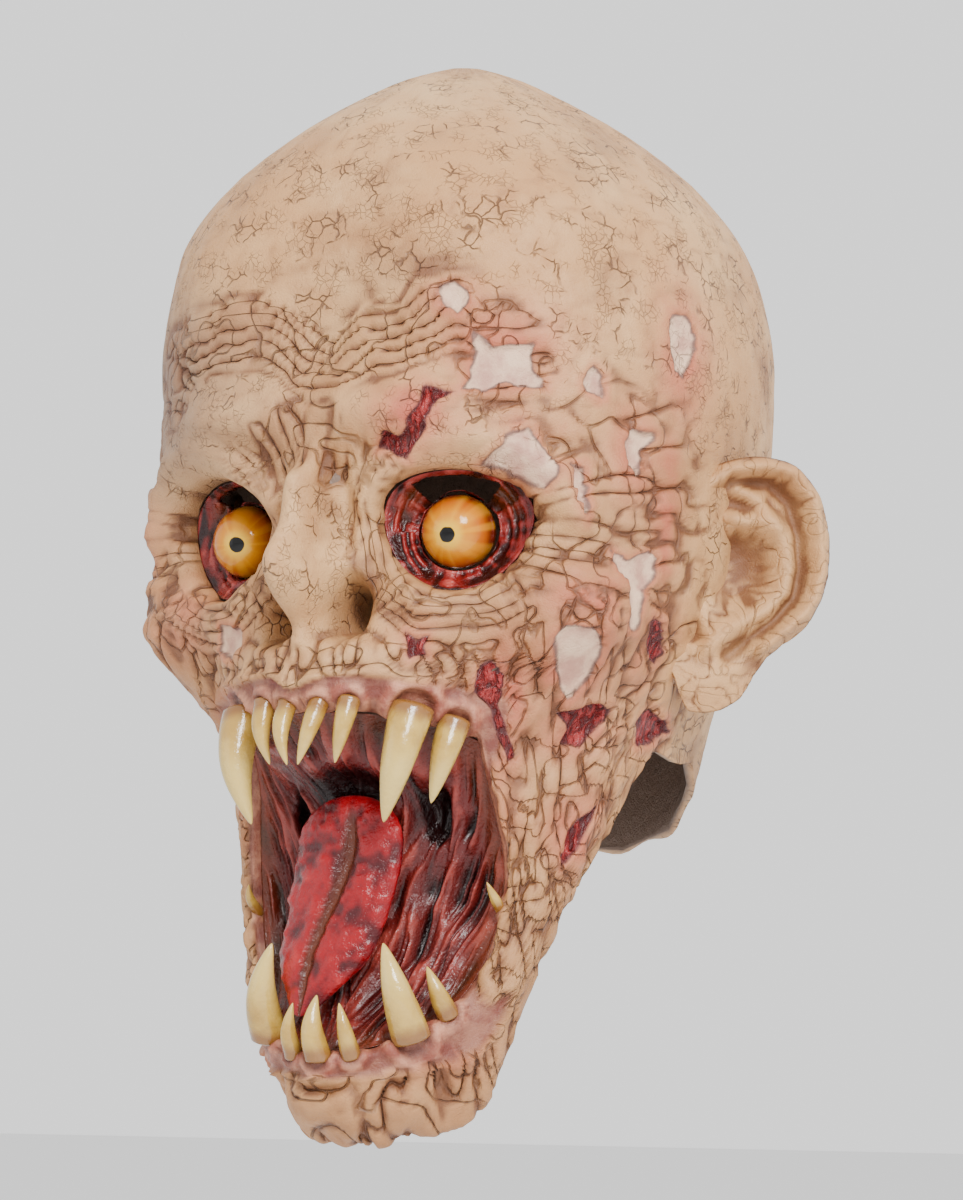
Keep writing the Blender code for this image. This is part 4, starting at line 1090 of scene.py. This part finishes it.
def make_ear(side, word):
    """One ear: a flat sheet drawn to the outline, raised, stood up at the temple and thickened."""
    columns, rows = EAR_GRID
    sheet = bmesh.new()
    bmesh.ops.create_grid(sheet, x_segments=columns, y_segments=rows, size=1)
    flat = np.array([v.co[:2] for v in sheet.verts])
    round_flat = flat * np.sqrt(1 - flat[:, ::-1] ** 2 / 2)
    angle = np.degrees(np.arctan2(round_flat[:, 1], round_flat[:, 0])) % 360
    outline = np.array(EAR_OUTLINE)
    length = np.interp(angle, outline[:, 0], outline[:, 1]) * np.linalg.norm(round_flat, axis=1)
    along = np.stack([np.cos(np.radians(angle)), np.sin(np.radians(angle))], axis=1)
    ear_mm = np.array(EAR_MIDDLE) + length[:, None] * along
    lift = np.zeros(len(ear_mm))
    for _, height, half_width, path in EAR_RIDGES:
        lift += height * np.exp(-((path_distance(ear_mm, path) / half_width) ** 2))
    out, up, half_out, half_up, depth = EAR_BOWL
    bowl = ((ear_mm[:, 0] - out) / half_out) ** 2 + ((ear_mm[:, 1] - up) / half_up) ** 2
    lift += depth * np.exp(-(bowl**1.5))
    wobble = pair_noise(ear_mm / 7 + side * 9, 71)
    fold_a = soft_noise((ear_mm + wobble * 2) / 3.4, 77 + side)
    fold_b = soft_noise((ear_mm + wobble) / 4.6, 79 + side)
    wrinkles = pillow(fold_a, 0.4)
    shape = (rows + 1, columns + 1)
    hollow = np.clip((blurred(lift, shape, 7) - lift) / 2.0, 0, 1)
    lift += (wrinkles - 0.7) * 0.8 * (1 - 0.4 * hollow)
    wash = np.clip(hollow + np.clip((blurred(lift, shape, 2) - lift) / 0.5, 0, 1), 0, 1)
    away = np.array([math.cos(EAR_FLARE) * side, math.sin(EAR_FLARE), 0])
    front = np.array([math.sin(EAR_FLARE) * side, -math.cos(EAR_FLARE), 0])
    root = np.array([HALF_WIDTH * EAR_ROOT_SHARE * side, 0, WALL - EAR_DROP])
    upward = np.array([0, 0, 1])
    points = root + (ear_mm[:, :1] * away + ear_mm[:, 1:] * upward + (lift[:, None] - 1.0) * front) * MM
    put_points(sheet, points)
    keep_on_mesh(sheet, wash=wash, fold_a=fold_a, fold_b=fold_b, ink=0.42 - 0.2 * hollow)
    bmesh.ops.recalc_face_normals(sheet, faces=sheet.faces)
    if sum((f.normal for f in sheet.faces), Vector()).dot(Vector(front)) < 0:
        bmesh.ops.reverse_faces(sheet, faces=sheet.faces)
    fronts = set(sheet.verts)
    bmesh.ops.solidify(sheet, geom=list(sheet.faces), thickness=EAR_THICKNESS)
    backs = [v for v in sheet.verts if v not in fronts]
    for _ in range(EAR_BACK_SMOOTHING):
        bmesh.ops.smooth_vert(
            sheet, verts=backs, factor=0.5, use_axis_x=True, use_axis_y=True, use_axis_z=True)
    finished_piece(sheet, f"latex_ear_{word}", ear_paint, "latex_skin", f"ear_{word}")


for side, word in ((1, "left"), (-1, "right")):
    make_ear(side, word)

# %% [markdown]
# ## Wet flesh in the sockets and the mouth
#
# On the real mask these can be separate castings, glued in behind the openings and painted glossy red. A
# square grid is drawn round with the opening's own rule, laid on the smooth head and pressed inward, so its
# edge follows the rim. Strands are raised with noise that is stretched along their run, and the wall is an
# extrusion.


# %% A dish behind an opening
SOCKET_DEPTH = 0.007
THROAT_DEPTH = 0.026
DISH_WALL = 0.0022


class Dish:
    """Fine grid that fills an opening. ring tells each point's share of the way to the rim."""

    def __init__(self, hole, side, cells):
        self.sheet = bmesh.new()
        bmesh.ops.create_grid(self.sheet, x_segments=cells, y_segments=cells, size=1)
        flat = np.array([vertex.co for vertex in self.sheet.verts])
        a, b, self.ring = square_to_round(flat[:, 0], -flat[:, 1], hole["square_top"])
        rings = {name: self.ring if name == hole["name"] else np.full(len(flat), 9.0) for name in AIMS}
        turn = hole["turn"] + a * hole["half_turn"]
        self.place = surface(turn, hole["section"] + b * hole["half_section"], rings)
        self.place[:, 0] *= side
        aim = AIMS[hole["name"]]
        self.inward = np.array((-math.sin(aim) * side, math.cos(aim), 0))
        rim = self.place[np.abs(self.ring - 1) < 0.001]
        middle = rim.mean(axis=0)
        size = np.linalg.norm(rim - middle, axis=1).mean()
        self.place = middle + (self.place - middle) * (1 - 0.5 * GAP / size)

    def press(self, depths):
        self.place = self.place + np.outer(depths, self.inward)

    def close(self, gone, **fields):
        """Puts the points in place, deletes the faces whose points are all gone, and extrudes the wall."""
        put_points(self.sheet, self.place)
        self.sheet.verts.index_update()
        keep_on_mesh(self.sheet, **fields)
        holes = [face for face in self.sheet.faces if all(gone[v.index] for v in face.verts)]
        bmesh.ops.delete(self.sheet, geom=holes, context="FACES")
        loose = [vertex for vertex in self.sheet.verts if not vertex.link_faces]
        bmesh.ops.delete(self.sheet, geom=loose, context="VERTS")
        made = bmesh.ops.extrude_face_region(self.sheet, geom=self.sheet.faces[:])["geom"]
        behind = [part for part in made if isinstance(part, bmesh.types.BMVert)]
        bmesh.ops.translate(self.sheet, verts=behind, vec=Vector(self.inward) * DISH_WALL)
        bmesh.ops.recalc_face_normals(self.sheet, faces=self.sheet.faces)
        print("edges still open:", sum(edge.is_boundary for edge in self.sheet.edges))
        return self.sheet


# %% Wet flesh
BROWN_FLESH = (0.13, 0.030, 0.006)


def wet_flesh(name, groove_painted_shade, middle, ridge_painted_highlight):
    """Glossy flesh with painted shade in its grooves and a painted highlight on its ridges."""
    paint = Paint(name)
    ridge = paint.attribute("ridge")
    blotches = paint.math("SUBTRACT", paint.noise(140, 5, 0.65), 0.5)
    mottled = paint.math("ADD", ridge, paint.math("MULTIPLY", blotches, 0.9))
    # painted shade in the grooves and a painted highlight on the crests, both read from the ridge height
    colour = paint.mix(paint.spread(mottled, -0.55, 0.25), groove_painted_shade, middle)
    colour = paint.mix(paint.spread(mottled, 0.30, 1.0), colour, ridge_painted_highlight)
    colour = paint.mix(paint.attribute("brown"), colour, BROWN_FLESH)
    rough = paint.spread(paint.noise(90, 3), 0.3, 0.7, 0.14, 0.34)
    bumps = paint.math("ADD", paint.noise(520, 3, 0.6), paint.times(paint.noise(1500, 2), 0.3))
    return paint.finish(Base_Color=colour, Roughness=rough, Coat_Weight=0.3, Coat_Roughness=0.10,
                        Coat_IOR=1.35, Specular_IOR_Level=0.3, Normal=paint.bump(bumps, 0.0007))


# each recipe gives the painted shade colour for the grooves, the middle colour, and the painted highlight
# colour for the ridges
socket_paint = wet_flesh("socket_flesh", (0.022, 0.0015, 0.0015), (0.17, 0.009, 0.008), (0.36, 0.05, 0.04))
throat_paint = wet_flesh("throat_flesh", (0.008, 0.001, 0.001), (0.085, 0.006, 0.005), (0.25, 0.035, 0.026))

# %% Eye sockets, open in a crescent above each eyeball
EYEBALL_SPACING = 0.079
EYEBALL_RADIUS = 0.0235 / 2
EYEBALL_BULGE = 0.002
LASH_CLEARANCE = 0.0004


def eyeball_centre(side):
    """Middle of an eyeball, measured from the smooth skin in front of it."""
    clear = {name: np.array([9.0]) for name in AIMS}
    skin_point = surface(np.array([EYE["turn"]]), np.array([EYE["section"]]), clear)[0]
    depth = skin_point[1] + EYEBALL_RADIUS - EYEBALL_BULGE
    return Vector((EYEBALL_SPACING / 2 * side, depth, WALL - EYE_DROP))


def make_socket(side, word):
    """A dish of circling strands that hugs the eyeball, with a crescent left open above it."""
    dish = Dish(EYE, side, 110)
    centre = np.array(eyeball_centre(side))
    free = 1 - smooth_step(0.80, 0.98, dish.ring)
    dish.press(SOCKET_DEPTH * (1 - dish.ring**2))
    off = dish.place - centre
    across = off - np.outer(off @ dish.inward, dish.inward)
    lateral = np.linalg.norm(across, axis=1) * 1000
    spin = np.arctan2(across[:, 2], across[:, 0] * side)
    drift = soft_noise(np.stack([spin * 2.2, lateral / 5], axis=1), 31 + side)
    circling = 1.5 * soft_noise(np.stack([spin * 2.4, lateral / 1.25], axis=1), 35 + side)
    rays = soft_noise(np.stack([spin * 9, lateral / 7], axis=1), 41 + side)
    ridge = 0.65 * circling + 0.6 * rays
    dish.press(-0.0010 * ridge * free)
    off = dish.place - centre
    away = np.linalg.norm(off, axis=1)
    touch = EYEBALL_RADIUS + LASH_CLEARANCE + 0.0005 * (1 + ridge)
    dish.place = np.where((away < touch)[:, None], centre + off / away[:, None] * touch[:, None], dish.place)
    high = across[:, 2] * 1000
    wide = np.abs(across[:, 0]) * 1000
    crescent = (lateral > 12.6 + 0.5 * drift) & (high > 5.5 + 0.05 * wide**2)
    crescent &= dish.ring < 0.90 + 0.02 * rays
    gone = (lateral < 11.0 + 0.35 * rays) | crescent
    corner = np.exp(-((lateral - 19) / 4.5) ** 2) * smooth_step(0.0, 0.8, np.sin(spin)) * free
    sheet = dish.close(gone, ridge=ridge, brown=0.6 * np.clip(corner, 0, 1))
    finished_piece(sheet, f"socket_flesh_{word}", socket_paint, "wet_flesh", f"socket_{word}")


for side, word in ((1, "left"), (-1, "right")):
    make_socket(side, word)

# %% [markdown]
# ## Eyeballs
#
# Each false eye is a glossy ball with its pole turned to where it looks. The angle from that pole is stored
# on the points, and the paint turns it into pupil, pale halo, amber and a burnt orange edge.

# %% Two amber eyes
GAZE = Vector((math.sin(math.radians(12.5)), -math.cos(math.radians(12.5)), -0.15)).normalized()
eye_paint = Paint("eye_amber_paint")
wavering = eye_paint.times(eye_paint.noise(300, 3), 5.0)
angle = eye_paint.math("ADD", eye_paint.attribute("from_pupil"), wavering)
streaks = eye_paint.spread(eye_paint.attribute("streak"), -0.4, 0.6)
iris = eye_paint.mix(eye_paint.spread(angle, 16, 34), (0.66, 0.38, 0.018), (0.54, 0.19, 0.001))
iris = eye_paint.mix(eye_paint.spread(angle, 34, 62), iris, (0.40, 0.085, 0.002))
iris = eye_paint.mix(eye_paint.spread(angle, 58, 84), iris, (0.11, 0.010, 0.002))
iris = eye_paint.mix(eye_paint.times(streaks, 0.35), iris, (0.72, 0.34, 0.012))
iris = eye_paint.mix(eye_paint.spread(angle, 14.2, 15.6), (0.0015, 0.0012, 0.0012), iris)
amber_paint = eye_paint.finish(
    Base_Color=iris, Roughness=eye_paint.spread(eye_paint.noise(70), 0.3, 0.7, 0.08, 0.16),
    Coat_Weight=0.6, Coat_IOR=1.3, Specular_IOR_Level=0.2, Coat_Roughness=0.03,
    Normal=eye_paint.bump(eye_paint.noise(260, 2), 0.0002))


def make_eyeball(side, word):
    """A glossy ball, turned so that its pole is the middle of the pupil."""
    sheet = bmesh.new()
    bmesh.ops.create_uvsphere(sheet, u_segments=64, v_segments=48, radius=EYEBALL_RADIUS)
    points = np.array([vertex.co for vertex in sheet.verts])
    from_pupil = np.degrees(np.arccos(np.clip(points[:, 2] / EYEBALL_RADIUS, -1, 1)))
    spin = np.arctan2(points[:, 1], points[:, 0])
    streak = soft_noise(np.stack([np.cos(spin) * 7, np.sin(spin) * 7], axis=1), 51 + side)
    keep_on_mesh(sheet, from_pupil=from_pupil, streak=streak)
    bmesh.ops.rotate(sheet, verts=sheet.verts, matrix=GAZE.to_track_quat("Z", "Y").to_matrix())
    bmesh.ops.translate(sheet, verts=sheet.verts, vec=eyeball_centre(side))
    finished_piece(sheet, f"amber_eye_{word}", amber_paint, "eye_amber", f"eyeball_{word}")


for side, word in ((1, "left"), (-1, "right")):
    make_eyeball(side, word)

# %% [markdown]
# ## Mouth lining
#
# The throat is a deep dish of torn strands running down and outward. The hollows above the tongue are
# blind, painted dark as a painted shade where an open hole would show, and the breathing hole goes through
# behind the tongue.

# %% Throat walls
throat_dish = Dish(MOUTH, 1, 190)
free = 1 - smooth_step(0.86, 0.99, throat_dish.ring)
throat_dish.press(3 * GAP + THROAT_DEPTH * (1 - throat_dish.ring**2))
x_mm, z_mm = throat_dish.place[:, 0] * 1000, (throat_dish.place[:, 2] + MOUTH_DROP) * 1000
lean = soft_noise(np.stack([x_mm / 16, z_mm / 22], axis=1), 61)
run = x_mm - 0.30 * z_mm * np.sign(x_mm) + 5.0 * lean
strings = soft_noise(np.stack([run / 2.1, z_mm / 17], axis=1), 62)
cords = soft_noise(np.stack([run / 5.2, z_mm / 26], axis=1), 63)
knobs = soft_noise(np.stack([x_mm / 5.5, z_mm / 5.0], axis=1), 64)
cord_ridge = 1 - 2 * np.abs(cords)
string_ridge = 1 - 2 * np.abs(strings)
throat_ridge = 0.6 * cord_ridge + 0.55 * string_ridge + 0.25 * knobs
throat_dish.press(-(0.0022 * cord_ridge + 0.0012 * string_ridge + 0.0008 * knobs) * free)
throat_hollow = np.exp(-((((x_mm - 2) / 13) ** 2 + ((z_mm - 31) / 7.5) ** 2) ** 2))
side_hollow = np.exp(-((((np.abs(x_mm) - 25) / 3.8) ** 2 + ((z_mm - 24) / 9) ** 2) ** 2))
throat_hollow = np.maximum(throat_hollow, side_hollow) * free
throat_dish.press(0.007 * throat_hollow)
# painted shade: the hollows' ridge value is lowered, so the paint gives them its darkest colour
throat_ridge = throat_ridge - 2.2 * throat_hollow
breath = ((x_mm - 2) / (11 + knobs)) ** 2 + ((z_mm - 19) / (5.5 + 0.6 * strings)) ** 2 < 1
throat_brown = 0.5 * smooth_step(0.75, 1.0, throat_dish.ring)
throat_sheet = throat_dish.close(breath, ridge=throat_ridge, brown=throat_brown)
finished_piece(throat_sheet, "torn_throat", throat_paint, "wet_flesh", "mouth_lining")

# %% [markdown]
# ## Tongue
#
# A ball is drawn out along a curve from the throat to the lower front teeth. A deep groove parts it into two
# lobes, and it narrows to a tail.

# %% Two-lobed tongue
TONGUE_LENGTH, TONGUE_WIDTH, TONGUE_THICKNESS, TONGUE_SWING = 0.070, 0.044, 0.016, 0.010
ROOT_DEPTH_SHARE, ROOT_RISE_SHARE = 0.60, 0.26
tongue_sheet = bmesh.new()
bmesh.ops.create_uvsphere(tongue_sheet, u_segments=140, v_segments=150, radius=1)
ball = np.array([vertex.co for vertex in tongue_sheet.verts])
along = (1 - ball[:, 2]) / 2
thin = np.maximum(np.hypot(ball[:, 0], ball[:, 1]), 1e-6)
across, out = ball[:, 0] / thin, ball[:, 1] / thin
narrowing = 1 - 0.30 * along - 0.28 * smooth_step(0.70, 0.98, along)
full = np.sqrt(np.clip(1 - (2 * along - 1) ** 4, 0, None)) * narrowing
groove_line = 0.18 * np.sin(along * 5 + 0.6)
groove = np.exp(-(((across - groove_line) / 0.12) ** 2)) * (out < 0) * smooth_step(0.02, 0.2, along)
lobes = 1 - 0.42 * groove
lump_at = np.stack([across * full * 4.2 + 3 * (out > 0), along * 13], axis=1)
lumps = soft_noise(lump_at, 71) * 0.5 + soft_noise(lump_at * 2.6, 72) * 0.28
swell = 0.0016 * lumps * full * (out < 0)
tongue_points = np.stack([
    across * full * TONGUE_WIDTH / 2 * (1 + 0.05 * lumps) - TONGUE_SWING * along**2,
    out * lobes * full * TONGUE_THICKNESS / 2 - TONGUE_LENGTH * 0.22 * along**2 - swell,
    -TONGUE_LENGTH * along], axis=1)
root_height = WALL - MOUTH_DROP + MOUTH_HEIGHT * ROOT_RISE_SHARE
tongue_root = np.array((0, -HALF_DEPTH * ROOT_DEPTH_SHARE, root_height))
put_points(tongue_sheet, tongue_points + tongue_root)
keep_on_mesh(tongue_sheet, ridge=lumps - 0.9 * groove, brown=0.55 * groove)
bmesh.ops.recalc_face_normals(tongue_sheet, faces=tongue_sheet.faces)
tongue_paint = wet_flesh("tongue_paint", (0.05, 0.001, 0.003), (0.26, 0.002, 0.006), (0.40, 0.018, 0.018))
finished_piece(tongue_sheet, "split_tongue", tongue_paint, "tongue_red", "tongue")

# %% [markdown]
# ## Teeth
#
# Every tooth is a ball pulled into a bent cone. The root is short and ends inside the skin's own thickness,
# and a painted brown shade darkens the tooth and the gum where tooth meets gum.

# %% Seventeen teeth
ROOT_INSIDE = 0.0022
UPPER_FANG_SHARE = 0.90
tooth_paint = Paint("tooth_ivory_paint")
uneven = tooth_paint.times(tooth_paint.math("SUBTRACT", tooth_paint.noise(260, 4), 0.5), 1.6)
base_share = tooth_paint.math("ADD", tooth_paint.attribute("from_gum"), uneven)
clouds = tooth_paint.spread(tooth_paint.noise(110, 4), 0.35, 0.65)
ivory = tooth_paint.mix(clouds, (0.52, 0.33, 0.065), (0.40, 0.23, 0.035))
ivory = tooth_paint.mix(tooth_paint.spread(base_share, 8, 22), ivory, (0.60, 0.42, 0.11))
# painted shade: the tooth darkens brown towards its foot at the gum
ivory = tooth_paint.mix(tooth_paint.spread(base_share, 0.6, 5.0, 0.85, 0.0), ivory, (0.19, 0.065, 0.012))
ivory_paint = tooth_paint.finish(
    Base_Color=ivory, Roughness=tooth_paint.spread(tooth_paint.noise(150), 0.3, 0.7, 0.16, 0.32),
    Coat_Weight=0.5, Coat_Roughness=0.08, Normal=tooth_paint.bump(tooth_paint.noise(330, 3), 0.0005))


def make_tooth(name, root, axis, radius):
    """A bent cone from just inside the gum to its tip."""
    sheet = bmesh.new()
    bmesh.ops.create_uvsphere(sheet, u_segments=24, v_segments=30, radius=1)
    length = axis.length * (UPPER_FANG_SHARE if "upper_fang" in name else 1.0)
    buried = ROOT_INSIDE / length
    ball = np.array([vertex.co for vertex in sheet.verts])
    share = (ball[:, 2] + 1) / 2
    along = share * (1 + buried) - buried
    thin = np.maximum(np.hypot(ball[:, 0], ball[:, 1]), 1e-6)
    foot = np.sqrt(np.clip(1 - np.clip(1 - share / 0.05, 0, None) ** 2, 0, None))
    across, out = ball[:, 0] / thin, ball[:, 1] / thin
    girth = radius * (1 - np.clip(along, 0, 1)) ** 0.62 * foot * (1.10 + 0.14 * np.sin(np.pi * along))
    girth = girth * (1 + 0.035 * soft_noise(np.stack([across * 2.5, along * 3], axis=1), len(name)))
    points = np.stack([across * girth, out * girth, along * length], axis=1)
    turned = points @ np.array(axis.to_track_quat("Z", "Y").to_matrix()).T + np.array(root)
    bend = np.sin(np.pi * np.clip(along, 0, 1)) * length
    turned[:, 1] -= bend * 0.10
    turned[:, 0] += bend * 0.05 * (1 if root.x > 0 else -1)
    put_points(sheet, turned)
    keep_on_mesh(sheet, from_gum=np.clip(along, -1, 1) * length * 1000)
    bmesh.ops.recalc_face_normals(sheet, faces=sheet.faces)
    finished_piece(sheet, f"ivory_{name}", ivory_paint, "tooth_ivory", name)


for name, root, axis, radius in tooth_roots():
    make_tooth(name, root, axis, radius)

# %% [markdown]
# ## Floor, light and camera
#
# A pale floor well below the mask, an even white sky, a strong lamp at the right and a weak one at the left
# give soft studio light. The camera stands to the mask's left, a little below its middle.

# %% Floor and light
FLOOR_LEVEL = -0.60
SKY_STRENGTH = 1.35
LAMP_AIM = Vector((0, 0, -0.17))
floor_sheet = bmesh.new()
bmesh.ops.create_grid(floor_sheet, x_segments=1, y_segments=1, size=6)
bmesh.ops.translate(floor_sheet, verts=floor_sheet.verts, vec=(0, 0, FLOOR_LEVEL))
floor_mesh = bpy.data.meshes.new("floor")
floor_sheet.to_mesh(floor_mesh)
floor_sheet.free()
floor = bpy.data.objects.new("floor", floor_mesh)
bpy.context.scene.collection.objects.link(floor)
floor_paint = Paint("floor_paint")
floor_mesh.materials.append(floor_paint.finish(Base_Color=(0.8, 0.8, 0.8), Roughness=0.9))

world = bpy.data.worlds.new("studio")
bpy.context.scene.world = world
world.use_nodes = True
world.node_tree.nodes["Background"].inputs["Color"].default_value = (1, 1, 1, 1)
world.node_tree.nodes["Background"].inputs["Strength"].default_value = SKY_STRENGTH


def lamp(name, place, size, watts):
    """A square lamp turned to the middle of the mask."""
    data = bpy.data.lights.new(name, "AREA")
    data.size, data.energy = size, watts
    made = bpy.data.objects.new(name, data)
    bpy.context.scene.collection.objects.link(made)
    made.location = place
    made.rotation_euler = (LAMP_AIM - Vector(place)).to_track_quat("-Z", "Y").to_euler()


lamp("key_light", (1.3, -1.2, 0.9), 0.7, 62)
lamp("fill_light", (-1.2, -1.5, 0.1), 1.2, 4)
print("floor level in metres:", FLOOR_LEVEL, "sky strength:", SKY_STRENGTH)

# %% Camera
CAMERA_TURN, CAMERA_RISE, CAMERA_AWAY = math.radians(31), math.radians(-4), 1.70
SEEN_HEIGHT = 0.3960
FILM_HEIGHT = 36
AIM_HEIGHT, AIM_RIGHT, AIM_UP = -0.176, 0.0047855, 0.00165
level = math.cos(CAMERA_RISE)
back = Vector((math.sin(CAMERA_TURN) * level, -math.cos(CAMERA_TURN) * level, math.sin(CAMERA_RISE)))
right = Vector((math.cos(CAMERA_TURN), math.sin(CAMERA_TURN), 0))
up = back.cross(right)
aim = Vector((0, 0, AIM_HEIGHT)) + right * AIM_RIGHT + up * AIM_UP
view = bpy.data.cameras.new("camera")
camera = bpy.data.objects.new("camera", view)
bpy.context.scene.collection.objects.link(camera)
camera.location = aim + back * CAMERA_AWAY
camera.rotation_euler = back.to_track_quat("Z", "Y").to_euler()
view.sensor_fit = "VERTICAL"
view.sensor_height = FILM_HEIGHT
view.lens = FILM_HEIGHT * CAMERA_AWAY / SEEN_HEIGHT
bpy.context.scene.camera = camera
print("camera place in metres:", [round(part, 3) for part in camera.location])
